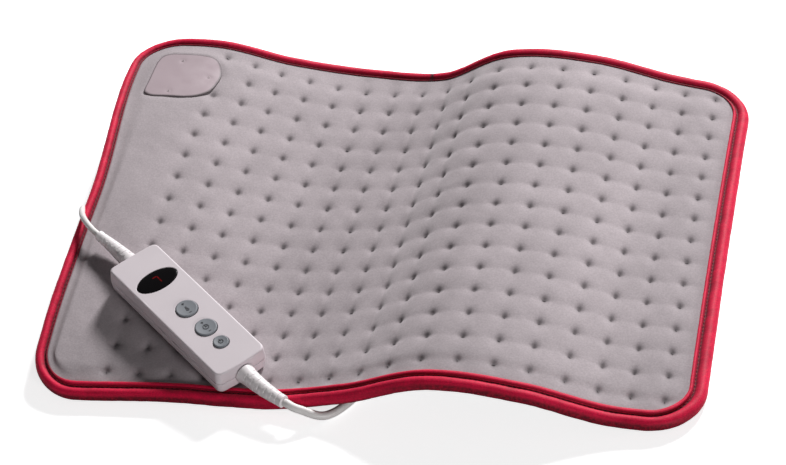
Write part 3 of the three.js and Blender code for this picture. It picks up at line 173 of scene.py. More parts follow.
def lathe(name, profile, sides, place):
    # turned round z, from the lowest point on the axis to the highest
    shell = ShellBuilder()
    shell.loft([shell.ring(circleRing(0, r, r, z, sides if r else 1)) for r, z in profile])
    return shell.build(name, place, 40)


def mergeInto(piece, other):
    bm = bmesh.new()
    bm.from_mesh(piece.data)
    bm.from_mesh(other.data)
    bm.to_mesh(piece.data)
    bm.free()
    bpy.data.objects.remove(other)


# small helpers for node trees
def liveSocket(sockets, name=None):
    # some nodes hold a hidden socket of the same name for each kind of data
    return [s for s in sockets if s.enabled and name in (None, s.name)][0]


def newMaterial(name, roughness, **settings):
    material = bpy.data.materials.new(name)
    material.use_nodes = True
    tree = material.node_tree
    shader = tree.nodes["Principled BSDF"]
    shader.inputs["Roughness"].default_value = roughness
    for key, value in settings.items():
        shader.inputs[key].default_value = value
    coords = tree.nodes.new("ShaderNodeTexCoord")
    return material, tree, shader, coords.outputs["Object"]


def noiseAt(tree, coords, scale, detail=3.0, stretch=(1, 1, 1), roughness=0.5):
    place = tree.nodes.new("ShaderNodeMapping")
    place.inputs["Scale"].default_value = stretch
    tree.links.new(coords, place.inputs["Vector"])
    node = tree.nodes.new("ShaderNodeTexNoise")
    node.inputs["Scale"].default_value = scale
    node.inputs["Detail"].default_value = detail
    node.inputs["Roughness"].default_value = roughness
    tree.links.new(place.outputs["Vector"], node.inputs["Vector"])
    return node.outputs["Fac"]


def grey(level):
    return (level, level, level)


def scaled(color, share):
    return [min(1.0, c * share) for c in color]


def ramp(tree, value, low, high, lowColor, highColor):
    node = tree.nodes.new("ShaderNodeValToRGB")
    node.color_ramp.elements[0].position = low
    node.color_ramp.elements[1].position = high
    node.color_ramp.elements[0].color = (*lowColor, 1)
    node.color_ramp.elements[1].color = (*highColor, 1)
    tree.links.new(value, node.inputs["Fac"])
    return node.outputs["Color"]


def mixColors(tree, amount, first, second, blend="MIX"):
    node = tree.nodes.new("ShaderNodeMix")
    node.data_type = "RGBA"
    node.blend_type = blend
    for socket, value in (("Factor", amount), ("A", first), ("B", second)):
        target = liveSocket(node.inputs, socket)
        if isinstance(value, bpy.types.NodeSocket):
            tree.links.new(value, target)
        else:
            target.default_value = value if socket == "Factor" else (*value, 1)
    return liveSocket(node.outputs)


def addBump(tree, shader, layers):
    below = None
    for height, strength, distance in layers:
        bump = tree.nodes.new("ShaderNodeBump")
        bump.inputs["Strength"].default_value = strength
        bump.inputs["Distance"].default_value = distance
        tree.links.new(height, bump.inputs["Height"])
        if below is not None:
            tree.links.new(below, bump.inputs["Normal"])
        below = bump.outputs["Normal"]
    tree.links.new(below, shader.inputs["Normal"])


def attributeOf(tree, name):
    node = tree.nodes.new("ShaderNodeAttribute")
    node.attribute_name = name
    return node


# materials of cloth
velvetShine = {
    "Sheen Weight": 0.3,
    "Sheen Roughness": 0.45,
    "Specular IOR Level": 0.15,
}
bandShine = {
    "Sheen Weight": 0.2,
    "Sheen Roughness": 0.4,
    "Sheen Tint": (1, 0.3, 0.4, 1),
    "Specular IOR Level": 0.2,
}


def makeVelvet(name, color, shadeColor):
    material, tree, shader, coords = newMaterial(name, 0.92, **velvetShine)
    nap = noiseAt(tree, coords, 22, 4)
    brushed = ramp(tree, nap, 0.35, 0.68, scaled(color, 0.93), scaled(color, 1.05))
    grain = ramp(tree, noiseAt(tree, coords, 900, 2), 0.3, 0.75, grey(0.86), grey(1.06))
    cloth = mixColors(tree, 1.0, brushed, grain, "MULTIPLY")
    # painted shade: the pit attribute mixes the cloth toward the shade colour at the tufts and beside
    # the pleats; at the tufts a little of it is the darker thread and pressed pile
    pit = attributeOf(tree, "pit").outputs["Fac"]
    tree.links.new(mixColors(tree, pit, cloth, shadeColor), shader.inputs["Base Color"])
    crush = noiseAt(tree, coords, 160, 4)
    pile = noiseAt(tree, coords, 1500, 2)
    addBump(tree, shader, [(crush, 0.35, 0.0006), (pile, 0.3, 0.0003)])
    return material


def makeBandCloth(name, bright, mottleAndShade, shadeRed):
    material, tree, shader, coords = newMaterial(name, 0.62, **bandShine)
    # painted shade: the fold attribute darkens the creases, the sewn groove, the stitches, the seam
    # join and the pressed lip toward a near-black red
    foldShade = attributeOf(tree, "foldShade").outputs["Fac"]
    blotch = ramp(tree, noiseAt(tree, coords, 90, 5), 0.4, 0.65, mottleAndShade, bright)
    fleck = ramp(tree, noiseAt(tree, coords, 950, 2), 0.3, 0.7, grey(0.72), grey(1.05))
    # painted shade with a noise texture, for the roll's lower side where the under attribute rises; the
    # darker red also gives the cloth its random mottling
    shaded = ramp(tree, noiseAt(tree, coords, 620, 4), 0.4, 0.66, shadeRed, scaled(mottleAndShade, 0.65))
    cloth = mixColors(tree, 1.0, mixColors(tree, 0.3, bright, blotch), fleck, "MULTIPLY")
    lowerShade = ramp(tree, attributeOf(tree, "under").outputs["Fac"], 0, 1, grey(0), grey(0.95))
    cloth = mixColors(tree, lowerShade, cloth, shaded)
    tree.links.new(mixColors(tree, foldShade, cloth, shadeRed), shader.inputs["Base Color"])
    band = attributeOf(tree, "band").outputs["Vector"]
    ribs = noiseAt(tree, band, 1100, 1, (1, 0.18, 1))
    nubs = noiseAt(tree, coords, 700, 3)
    addBump(tree, shader, [(ribs, 0.3, 0.0003), (nubs, 0.3, 0.0004)])
    return material


def makeThread(name, color):
    material, tree, shader, coords = newMaterial(name, 0.75)
    twist = noiseAt(tree, coords, 2400, 2, (1, 1, 3))
    strand = ramp(tree, twist, 0.3, 0.7, scaled(color, 0.7), color)
    tree.links.new(strand, shader.inputs["Base Color"])
    addBump(tree, shader, [(twist, 0.5, 0.0002)])
    return material


# materials of moulded pieces
def makeMoulded(name, color, roughness, grain=0.06, mottle=0.04, rim="", **settings):
    material, tree, shader, coords = newMaterial(name, roughness, **settings)
    tone = noiseAt(tree, coords, 35, 3)
    skin = ramp(tree, tone, 0.35, 0.65, scaled(color, 1 - mottle), scaled(color, 1 + mottle))
    if rim:
        # painted shade: the named attribute darkens the piece's rim
        skin = mixColors(tree, attributeOf(tree, rim).outputs["Fac"], skin, scaled(color, 0.3))
    tree.links.new(skin, shader.inputs["Base Color"])
    rub = noiseAt(tree, coords, 90, 4)
    gloss = tree.nodes.new("ShaderNodeMapRange")
    gloss.inputs["From Min"].default_value = 0.3
    gloss.inputs["From Max"].default_value = 0.7
    gloss.inputs["To Min"].default_value = roughness * 0.88
    gloss.inputs["To Max"].default_value = min(1.0, roughness * 1.15)
    tree.links.new(rub, gloss.inputs["Value"])
    tree.links.new(gloss.outputs["Result"], shader.inputs["Roughness"])
    addBump(tree, shader, [(noiseAt(tree, coords, 1800, 2), grain, 0.0002)])
    return material


def makeMetal(name, color, roughness):
    material, tree, shader, coords = newMaterial(name, roughness, Metallic=1.0)
    brushed = noiseAt(tree, coords, 700, 3, (1, 1, 0.08))
    sheen = ramp(tree, brushed, 0.3, 0.7, scaled(color, 0.85), color)
    tree.links.new(sheen, shader.inputs["Base Color"])
    addBump(tree, shader, [(brushed, 0.12, 0.0001)])
    return material


finish = {
    # a velvet's last colour is the painted shade at its tufts
    "velvet": makeVelvet("greyVelvet", (0.44, 0.385, 0.405), (0.1, 0.085, 0.09)),
    "underVelvet": makeVelvet("underVelvet", (0.42, 0.37, 0.39), (0.12, 0.1, 0.11)),
    "felt": makeVelvet("coreFelt", (0.78, 0.75, 0.7), (0.5, 0.48, 0.45)),
    # the band's last two colours are a darker red for mottling and painted shade, and a near-black red
    # for painted shade
    "band": makeBandCloth("redBand", (0.78, 0.006, 0.06), (0.4, 0.0, 0.022), (0.05, 0.0, 0.004)),
    "redThread": makeThread("redThread", (0.34, 0.0, 0.02)),
    "greyThread": makeThread("greyThread", (0.13, 0.11, 0.12)),
    "tieCloth": makeThread("tieCloth", (0.03, 0.03, 0.035)),
    "patch": makeMoulded("satinPatch", (0.35, 0.272, 0.298), 0.65, 0.12, 0.03, "rim"),
    "eyelet": makeMoulded("patchEyelet", (0.3, 0.25, 0.26), 0.5, 0.05, 0.1),
    "housing": makeMoulded("whiteHousing", (0.61, 0.545, 0.575), 0.5, 0.05, 0.015),
    "button": makeMoulded("greyButton", (0.16, 0.17, 0.19), 0.5, 0.06, 0.08),
    "mark": makeMoulded("darkMark", (0.012, 0.014, 0.02), 0.5),
    "lens": makeMoulded(
        "blackLens", (0.002, 0.0015, 0.002), 0.2, 0.0, 0.0, **{"Specular IOR Level": 0.03}
    ),
    "lead": makeMoulded("paleLead", (0.72, 0.69, 0.68), 0.42, 0.08, 0.05),
    "relief": makeMoulded("paleRelief", (0.78, 0.73, 0.74), 0.45, 0.08, 0.03),
    "black": makeMoulded("blackMoulding", (0.03, 0.03, 0.034), 0.5, 0.12, 0.1),
    "wire": makeMoulded("wireJacket", (0.6, 0.56, 0.48), 0.6, 0.1, 0.08),
    "board": makeMoulded("boardLacquer", (0.04, 0.17, 0.08), 0.35, 0.05, 0.2),
    "capacitor": makeMoulded("dippedResin", (0.45, 0.28, 0.04), 0.3, 0.05, 0.1),
    "steel": makeMetal("brightSteel", (0.6, 0.6, 0.62), 0.3),
}


def makeGlow(name, color, strength):
    material, tree, shader, coords = newMaterial(name, 0.3)
    shader.inputs["Base Color"].default_value = (0.02, 0.0, 0.0, 1)
    shader.inputs["Specular IOR Level"].default_value = 0.02
    flicker = ramp(tree, noiseAt(tree, coords, 500, 2), 0.3, 0.7, scaled(color, 0.6), color)
    tree.links.new(flicker, shader.inputs["Emission Color"])
    shader.inputs["Emission Strength"].default_value = strength
    return material


finish["glow"] = makeGlow("redDigit", (0.28, 0.008, 0.008), 0.4)
print("materials made")


# pieces whose CAD shape is right get a softer copy: doubles merged, flats joined, edges rounded
def softenNode(node, name, width, material, slot, body="root"):
    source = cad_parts[node]
    mesh = source.data.copy()
    mesh.name = name
    bm = bmesh.new()
    bm.from_mesh(mesh)
    bmesh.ops.remove_doubles(bm, verts=bm.verts, dist=0.00001)
    bmesh.ops.dissolve_limit(bm, angle_limit=math.radians(4), verts=bm.verts, edges=bm.edges)
    sharp = [e for e in bm.edges if e.is_manifold and e.calc_face_angle(0) > math.radians(28)]
    bmesh.ops.bevel(
        bm, geom=sharp, offset=width, segments=3, profile=0.5, affect="EDGES", clamp_overlap=True
    )
    bmesh.ops.triangulate(bm, faces=bm.faces)
    bm.to_mesh(mesh)
    bm.free()
    piece = bpy.data.objects.new(name, mesh)
    scene.collection.objects.link(piece)
    sharpen(piece, 40)
    return finishPiece(piece, material, body, slot, node)


for node, name, key, slot in (
    ("mains_plug", "mainsPlug", "lead", "lead"),
    ("connector_plug", "connectorPlug", "lead", "lead"),
    ("connector_socket", "connectorSocket", "black", "component"),
):
    softenNode(node, name, 0.0006, finish[key], slot)


# the controller's own frame: it lies turned and tilted on the pad's front left edge
controllerSpec = {
    "middle": Vector((-116.376, -111.691, 26.624)) * mm,
    "yaw": -40,
    "pitch": 7.5,
}
controllerFrame = (
    Matrix.Translation(controllerSpec["middle"])
    @ Matrix.Rotation(math.radians(controllerSpec["yaw"]), 4, "Z")
    @ Matrix.Rotation(math.radians(controllerSpec["pitch"]), 4, "Y")
)
halfTurn = Matrix.Rotation(math.pi, 4, "Z")


# leads and their strain reliefs
reliefs = {
    "mains": {"length": 0.037, "bend": (0.004, 0.0008), "start": 0.0625, "turn": Matrix.Identity(4)},
    "pad": {"length": 0.037, "bend": (0.0026, 0.0019), "start": 0.0625, "turn": halfTurn},
}


def reliefLine(spec, along):
    # middle and direction at a distance from the housing's end
    share = max(along, 0) / spec["length"]
    aside, rise = spec["bend"]
    slope = 2 * share / spec["length"]
    place = controllerFrame @ spec["turn"]
    middle = Vector((spec["start"] + along, aside * share**2, rise * share**2))
    way = Vector((1, aside * slope, rise * slope)).normalized()
    return place @ middle, (place.to_3x3() @ way).normalized()


mainsLead = {
    "diameter": 0.0055,
    "gap": 0.0005,
    "coilMiddle": (73.3, -64.7),
    "coilRadius": 33,
    "turns": 7.5,
    "length": 1.78,
    "before": [
        (-29.7, -176, 13), (-23.7, -176.1, 10.5), (-17.7, -175.9, 7.6), (-12.2, -174.3, 4.9),
        (-6.7, -169.7, 3.2), (-1.2, -163, 2.8), (6.3, -151, 2.8), (17.3, -136, 2.8),
        (31.3, -123, 2.9), (46.3, -113, 3.2), (57.5, -109.3, 3.5),
    ],
    "after": [
        (60, -20.6, 9.6), (48.5, -18, 9.2), (39.8, -10.5, 8.5), (36.3, 1, 7.6),
        (38.9, 12.8, 7), (46.5, 21.6, 6.9), (57.8, 25.5, 6.85), (63, 25.5, 6.85),
    ],
}
padLead = {
    "diameter": 0.0042,
    "gap": 0.0005,
    "plugHeight": 0.0257,
    "coilMiddle": (-146.7, 18),
    "coilRadius": 24,
    "turns": 2.5,
    "length": 0.575,
    "before": [
        (-195.7, -48.4, 42.6), (-199.9, -44.4, 43.3), (-204.5, -38.9, 43.4), (-208.7, -32, 42),
        (-212.2, -23, 38.8), (-214.7, -14.5, 33.2), (-215.7, -7.5, 26.8), (-214.5, -1.8, 20.3),
        (-209.5, 1, 14), (-201.5, 0.8, 8.6), (-192, -2.2, 4.8), (-181.5, -6.2, 3.1),
        (-170, -8.6, 2.9), (-160, -9, 3),
    ],
    "after": [
        (-160, 45.2, 8.2), (-168, 47.3, 10.4), (-175.5, 52.5, 14.4), (-180.5, 60, 19.4),
    ],
}
tieThickness = 0.0006
meshGap = 0.0003  # between pieces that touch
stepsPerTurn = 24


def coilPoints(spec):
    pitch = spec["diameter"] + spec["gap"]
    inner = spec["coilRadius"] * mm - pitch * spec["turns"] / 4
    base = spec["diameter"] / 2 + tieThickness + meshGap
    x, y = (value * mm for value in spec["coilMiddle"])
    points = []
    for k in range(int(spec["turns"] * stepsPerTurn) + 1):
        fromTurn = k / stepsPerTurn - spec["turns"] / 2
        share = min(max(2 * fromTurn + 0.5, 0), 1)
        climb = share * share * (3 - 2 * share)
        radius = inner + pitch * abs(fromTurn)
        angle = 2 * math.pi * k / stepsPerTurn - math.pi / 2
        across, along = radius * math.cos(angle), radius * math.sin(angle)
        points.append(Vector((x + across, y + along, base + pitch * climb)))
    step = Vector((spec["diameter"], 0, 0))
    return [points[0] - step, *points, points[-1] - step]


def layCord(name, spec, points):
    data = bpy.data.curves.new(name, "CURVE")
    data.dimensions = "3D"
    data.bevel_depth = spec["diameter"] / 2
    data.bevel_resolution = 5
    data.use_fill_caps = True
    data.resolution_u = 5
    spline = data.splines.new("BEZIER")
    spline.bezier_points.add(len(points) - 1)
    for point, place in zip(spline.bezier_points, points):
        point.co = place
        point.handle_left_type = "AUTO"
        point.handle_right_type = "AUTO"
    data.materials.append(finish["lead"])
    lead = bpy.data.objects.new(name, data)
    scene.collection.objects.link(lead)
    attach(lead, "root")
    return lead


def inMetres(place):
    return Vector(place) * mm + partMiddle


def routePoints(spec, exitPoint, exitWay, ending):
    coil = [point + partMiddle for point in coilPoints(spec)]
    start = [exitPoint, exitPoint + exitWay * spec["diameter"] / 2]
    return [*start, *map(inMetres, spec["before"]), *coil, *map(inMetres, spec["after"]), *ending]


mainsExit, mainsWay = reliefLine(reliefs["mains"], reliefs["mains"]["length"] + meshGap)
padExit, padWay = reliefLine(reliefs["pad"], reliefs["pad"]["length"] + meshGap)
plugLow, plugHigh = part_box("connector_plug")
plugMouth = Vector(((plugLow.x + plugHigh.x) / 2, plugLow.y - meshGap, padLead["plugHeight"]))
mainsCord = layCord("mainsLead", mainsLead, routePoints(mainsLead, mainsExit, mainsWay, []))
padCord = layCord("padLead", padLead, routePoints(padLead, padExit, padWay, [plugMouth]))
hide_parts("mains_lead", "mains_lead_coil", "mains_lead_tail")
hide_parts("pad_lead", "pad_lead_coil", "pad_lead_tail")
print("leads laid")


# the wave that the pad lies in, drawn flat with s to the right, t to the rear and h up
padSpec = {
    "length": 0.46,
    "width": 0.34,
    "thickness": 0.01,
    "cornerRadius": 0.035,
    "waveHeight": 0.038,
    "restDepth": 0.0005,
    "leftDrawIn": 0.01,
    "leftFade": (0.48, 0.4),
    "leftTaper": 0.0045,
    "leftNarrowing": 0.14,
    "rearBow": 0.0054,
    "rearPulls": ((0.375, 0.115, -0.0056), (0.05, 0.1, 0.0032)),
    "frontDrawIn": 0.0014,
    "frontSkew": 0.0025,
    "waveSteps": 92,
    "waveShares": (
        (0.05, 0, 0.03, 0, 0.29, 0.74, 0.58, 0.13, 0),
        (0.89, 0.66, 0.26, 0, 0.13, 0.71, 0.63, 0.16, 0),
        (1, 0.95, 0.45, 0.1, 0.13, 0.74, 0.68, 0.29, 0),
    ),
}
padLength = padSpec["length"]
padWidth = padSpec["width"]
padTop = padSpec["thickness"]


def softCurve(a, b, c, d, w):
    # from b to c, coming from a and heading for d
    rise = (c - a) / 2
    fall = (d - b) / 2
    return b + w * (rise + w * (3 * (c - b) - 2 * rise - fall + w * (2 * (b - c) + rise + fall)))


def rowHeight(shares, along):
    # a smooth curve through the heights at even places
    knots = np.array(shares) * padSpec["waveHeight"]
    knots = np.concatenate(([2 * knots[0] - knots[1]], knots, [2 * knots[-1] - knots[-2]]))
    place = np.clip(along, 0, 1) * (len(shares) - 1)
    cell = np.minimum(place.astype(int), len(shares) - 2)
    return softCurve(*(knots[cell + k] for k in range(4)), place - cell)


def rowPlan(shares):
    steps = padSpec["waveSteps"]
    heights = rowHeight(shares, np.linspace(0, 1, steps + 1))
    run = np.sqrt((padLength / steps) ** 2 - np.diff(heights) ** 2)
    plan = np.concatenate(([0], np.cumsum(run)))
    return plan - plan[steps // 2]


rowPlans = [rowPlan(shares) for shares in padSpec["waveShares"]]
planMiddle = (rowPlans[0][0] + rowPlans[0][-1]) / 2


def underside(s, t):
    w = t / padWidth
    along = np.clip(s / padLength, 0, 1)
    knots = np.linspace(0, 1, padSpec["waveSteps"] + 1)
    rows = ((1 - w) * (1 - 2 * w), 4 * w * (1 - w), w * (2 * w - 1))
    x = s - along * padLength - planMiddle
    z = np.zeros_like(s)
    for row, shares, plan in zip(rows, padSpec["waveShares"], rowPlans):
        x = x + row * np.interp(along, knots, plan)
        z = z + row * rowHeight(shares, along)
    y = t - (padWidth + padSpec["rearBow"]) / 2
    z = np.maximum(z, 0) - padSpec["restDepth"]
    return np.stack((x, y, z), axis=-1) + np.array(partMiddle)


def padNormals(s, t):
    probe = 1 * mm
    inside = np.clip(s, probe, padLength - probe)
    along = underside(inside + probe, t) - underside(inside - probe, t)
    across = underside(inside, t + probe) - underside(inside, t - probe)
    normal = np.cross(along, across)
    return normal / np.linalg.norm(normal, axis=-1, keepdims=True)


def onPad(s, t, h):
    s, t, h = (np.asarray(value, float) for value in (s, t, h))
    points = underside(s, t) + padNormals(s, t) * h[..., None]
    points[..., 2] = np.maximum(points[..., 2], 0.00005)
    return points


def padFrame(s, t):
    spot = (np.array([s]), np.array([t]))
    up = Vector(padNormals(*spot)[0])
    along = Vector(underside(spot[0] + mm, spot[1])[0] - underside(spot[0] - mm, spot[1])[0])
    right = (along - up * along.dot(up)).normalized()
    rear = up.cross(right)
    frameMatrix = Matrix((right, rear, up)).transposed().to_4x4()
    frameMatrix.translation = Vector(underside(*spot)[0])
    return frameMatrix


def smooth(value):
    value = np.clip(value, 0, 1)
    return value * value * (3 - 2 * value)


def ease(value, start, reach):
    # 0 up to the start, then rising to 1 over the reach
    return smooth((value - start) / reach)


def bell(distance, width):
    return np.exp(-((distance / width) ** 2))


def wander(s, t, scale, seed):
    # soft noise along the cloth
    return np.array([noise.noise(Vector((a * scale, b * scale, seed))) for a, b in zip(s, t)])


# stations round the edge, counter-clockwise, on lines that may crowd at the tufts
def crowdedLines(first, pitch, low, high, cuts, crowd):
    lines = [low]
    cell = math.floor((low - first) / pitch)
    while first + pitch * cell < high:
        for cut in range(cuts):
            share = cut / cuts
            eased = share - crowd * math.sin(2 * math.pi * share) / (2 * math.pi)
            value = first + pitch * (cell + eased)
            if low + 0.0003 < value < high - 0.0003:
                lines.append(value)
        cell += 1
    lines.append(high)
    return np.array(lines)


def edgeStations(linesS, linesT, cornerCuts):
    lastS, lastT = len(linesS) - 1, len(linesT) - 1
    sides = (
        ((0, 0), (1, 0), lastS),
        ((lastS, 0), (0, 1), lastT),
        ((lastS, lastT), (-1, 0), lastS),
        ((0, lastT), (0, -1), lastT),
    )
    stations = []
    for side, (start, step, cells) in enumerate(sides):
        for k in range(cornerCuts + 1):
            angle = math.pi / 2 * (2 + side + k / cornerCuts)
            stations.append((*start, math.cos(angle), math.sin(angle)))
        for k in range(1, cells):
            stations.append((start[0] + step[0] * k, start[1] + step[1] * k, step[1], -step[0]))
    return np.array(stations)


def edgeFlat(stations, linesS, linesT, inset, driftShare=1.0):
    core = np.stack((linesS[stations[:, 0].astype(int)], linesT[stations[:, 1].astype(int)]), -1)
    out = stations[:, 2:4]
    outer = core + out * padSpec["cornerRadius"]
    u = np.clip(outer[:, 0] / padLength, 0, 1)
    w = np.clip(outer[:, 1] / padWidth, 0, 1)
    inLeft = padSpec["leftDrawIn"] * (1 - ease(w, *padSpec["leftFade"]))
    inLeft = inLeft + padSpec["leftTaper"] * np.maximum(1 - 4 * w, 0) ** 2
    bow = padSpec["rearBow"] * np.sin(np.pi * u)
    for middle, reach, depth in padSpec["rearPulls"]:
        bow = bow - depth * bell(u - middle, reach)
    front = padSpec["frontSkew"] * np.sin(2 * np.pi * u) + padSpec["frontDrawIn"]
    drift = np.stack(((1 - u) ** 2 * inLeft, w**2 * bow + (1 - w) ** 2 * front), -1)
    narrow = (1 - padSpec["leftNarrowing"] * (1 - u) ** 4)[:, None]
    return core + out * (padSpec["cornerRadius"] - inset * narrow) + drift * driftShare


# covers: tufted outside, plain inside, one closed piece each
tufts = {
    "left": 0.0643,
    "right": 0.0251,
    "front": 0.0226,
    "rear": 0.0178,
    "columns": 18,
    "rows": 15,
    "keepIn": 0.0203,
    "lean": 0.003,
    "leanRow": 9,
    "leanRows": 3,
    "leanColumns": 2,
    "hiddenRow": 13,
    "pitRadius": 0.0019,
    "valleyRadius": 0.0062,
    "shadeRadius": 0.0021,
    "shadeShift": 0.0008,
    "shadeStretch": 1.6,
}
tuftPitch = (
    (padLength - tufts["left"] - tufts["right"]) / (tufts["columns"] - 1),
    (padWidth - tufts["front"] - tufts["rear"]) / (tufts["rows"] - 1),
)


def tuftLean(column, row):
    # the first columns lean to the right near the rear
    share = ease(row, tufts["leanRow"], tufts["leanRows"])
    share = share * np.clip(1 - column / tufts["leanColumns"], 0, 1)
    underPatch = np.abs(row - tufts["hiddenRow"]) < 0.5
    return tufts["lean"] * share * np.where(underPatch, np.clip(column, 0, 1), 1)


def tuftPlace(column, row):
    s = tufts["left"] + tuftPitch[0] * column + tuftLean(column, row)
    t = tufts["front"] + tuftPitch[1] * row
    radius = padSpec["cornerRadius"]
    coreS = np.clip(s, radius, padLength - radius)
    coreT = np.clip(t, radius, padWidth - radius)
    away = np.hypot(s - coreS, t - coreT)
    pull = np.minimum(1, tufts["keepIn"] / np.maximum(away, 1e-9))
    return coreS + (s - coreS) * pull, coreT + (t - coreT) * pull


def tuftDistance(s, t):
    row = np.clip(np.rint((t - tufts["front"]) / tuftPitch[1]), 0, tufts["rows"] - 1)
    across = (s - tufts["left"]) / tuftPitch[0]
    across = across - tuftLean(across, row) / tuftPitch[0]
    column = np.clip(np.rint(across), 0, tufts["columns"] - 1)
    placeS, placeT = tuftPlace(column, row)
    return np.hypot(s - placeS, t - placeT), s - placeS, t - placeT


patchSpec = {
    "place": (0.042, 0.2946),
    "length": 0.056,
    "width": 0.049,
    "thickness": 0.0009,
    "round": 0.0006,
    "press": 0.0007,
    "lift": 0.00015,
    "seam": 0.00055,
    "seamAt": 0.0006,
    "seamHalf": 0.0011,
    "pressEdge": 0.0016,
    "near": (0.04, 0.036),
    "topRings": (0.06, 0.97, 26),
    "roundCuts": 6,
    "halfSize": 0.026,  # turns an inset into a share of the outline
    "dent": 0.0003,
    "dentRadius": 0.0022,
    "ripple": 0.00008,
    "rimShade": (0.955, 0.02),
    "shares": (
        (-0.38, 0.1), (-0.37, 0.25), (-0.33, 0.375), (-0.23, 0.44), (-0.02, 0.46), (0.18, 0.475),
        (0.3, 0.46), (0.37, 0.41), (0.43, 0.285), (0.465, 0.12), (0.46, -0.03), (0.425, -0.2),
        (0.38, -0.305), (0.28, -0.41), (0.14, -0.48), (-0.05, -0.51), (-0.25, -0.535),
        (-0.34, -0.51), (-0.39, -0.44), (-0.385, -0.2),
    ),
    "rivets": ((0.0393, 0.3088), (0.0606, 0.2952), (0.0376, 0.2748)),
}


def patchOutline(count):
    knots = np.array(patchSpec["shares"][::-1])
    knots = knots * (patchSpec["length"], patchSpec["width"])
    dense = []
    for k in range(len(knots)):
        a, b, c, d = (knots[(k + m - 1) % len(knots)] for m in range(4))
        dense += [softCurve(a, b, c, d, w) for w in np.linspace(0, 1, 24, endpoint=False)]
    dense = np.array(dense)
    steps = np.linalg.norm(np.roll(dense, -1, 0) - dense, axis=1)
    length = np.concatenate(([0], np.cumsum(steps)))
    marks = np.linspace(0, length[-1], count, endpoint=False)
    closed = np.vstack((dense, dense[:1]))
    return np.stack([np.interp(marks, length, closed[:, k]) for k in (0, 1)], -1)


patchEdge = patchOutline(240) + np.array(patchSpec["place"])


def patchDistance(s, t):
    # distance to the patch's outline, less than zero inside it, only near it
    far = np.full(len(s), 1.0)
    (middleS, middleT), (nearS, nearT) = patchSpec["place"], patchSpec["near"]
    near = (np.abs(s - middleS) < nearS) & (np.abs(t - middleT) < nearT)
    following = np.roll(patchEdge, -1, 0)
    run = following - patchEdge
    for k in np.where(near)[0]:
        away = np.hypot(patchEdge[:, 0] - s[k], patchEdge[:, 1] - t[k]).min()
        spans = (patchEdge[:, 1] > t[k]) != (following[:, 1] > t[k])
        cross = patchEdge[spans, 0] + (t[k] - patchEdge[spans, 1]) * run[spans, 0] / run[spans, 1]
        far[k] = -away if np.count_nonzero(cross > s[k]) % 2 else away
    return far


# how deep the quilting is drawn in, where it gathers into pleats, and how dark the painted shade beside
# the pleats is
# a pair is where a change starts and how far it reaches
quilting = {
    "pit": 0.0013,
    "valley": 0.0009,
    "plain": 0.00012,
    "rowCrease": 0.00026,
    "rowFrom": (0.5, 0.12),
    "columnPleat": 0.0008,
    "pleatFrom": (0.3, 0.08),
    "pleatTo": (0.52, 0.1),
    "pleatShade": 0.17,
    "pleatShift": 0.0034,
    "creaseHalf": 0.0033,
    "creaseBend": 0.0011,
    "fieldEdge": 0.012,
    "ripple": 0.0004,
    "fineRipple": 0.00022,
    "sagTo": (0.72, 0.24),
    "edgeDrop": 0.0017,
    "edgeFrom": (0.2, 0.74),
    "lowest": 0.00735,
}
underQuilting = {
    "pit": 0.0016,
    "valley": 0.0009,
    "ripple": 0.0002,
    "edgeRise": 0.0017,
    "edgeFrom": (0.42, 0.5),
}


def softFloor(height, lowest, blend=0.0003):
    # keeps a height above its lowest, with a soft turn
    over = height - lowest
    return lowest + 0.5 * (over + np.sqrt(over**2 + blend**2))


def tuftBells(distance):
    return bell(distance, tufts["pitRadius"]), bell(distance, tufts["valleyRadius"])


def seamDepth(away, along, pitch):
    # a little deeper at the tufts than between them
    return bell(away, quilting["creaseHalf"]) * (0.8 + 0.2 * np.cos(2 * np.pi * along / pitch))


def topCoverHeight(s, t, rim):
    distance, ds, dt = tuftDistance(s, t)
    pit, valley = tuftBells(distance)
    inField = smooth((s - tufts["left"] + quilting["fieldEdge"]) / quilting["fieldEdge"])
    along = s / padLength
    rowDepth = quilting["plain"] + quilting["rowCrease"] * ease(along, *quilting["rowFrom"])
    pleatShare = ease(along, *quilting["pleatFrom"]) * (1 - ease(along, *quilting["pleatTo"]))
    pleatDepth = quilting["plain"] + quilting["columnPleat"] * pleatShare
    bend = quilting["creaseBend"] * wander(s, t, 55, 5.3)
    rowSeam = rowDepth * seamDepth(dt + bend, ds, tuftPitch[0])
    columnSeam = pleatDepth * seamDepth(ds + bend, dt, tuftPitch[1])
    sag = quilting["pit"] * pit + quilting["valley"] * valley
    sag = sag + inField * (rowSeam + columnSeam)
    toPatch = patchDistance(s, t)
    sag = sag + patchSpec["seam"] * bell(toPatch - patchSpec["seamAt"], patchSpec["seamHalf"])
    sag = sag + patchSpec["press"] * smooth(0.5 - toPatch / patchSpec["pressEdge"])
    sag = sag * (1 - ease(rim, *quilting["sagTo"]))
    ripple = quilting["ripple"] * wander(s, t, 26, 3.1)
    ripple = ripple + quilting["fineRipple"] * wander(s, t, 110, 7.7)
    edge = quilting["edgeDrop"] * ease(rim, *quilting["edgeFrom"])
    height = padTop - sag + ripple * (1 - rim) * (toPatch > 0) - edge
    # painted shade: a soft dark band beside each column pleat, kept with the tufts' shade
    pleat = quilting["pleatShade"] * pleatShare * inField
    pleat = pleat * bell(ds + quilting["pleatShift"] + 2 * bend, quilting["creaseHalf"])
    # painted shade at each tuft: a dark oval, stretched and shifted to the rear, where the pit's wall
    # is in shade
    shadeAcross = ds / tufts["shadeRadius"]
    shadeAlong = (dt - tufts["shadeShift"]) / (tufts["shadeRadius"] * tufts["shadeStretch"])
    shade = np.exp(-(shadeAcross**2) - shadeAlong**2)
    return softFloor(height, quilting["lowest"]), np.maximum(shade, pleat)


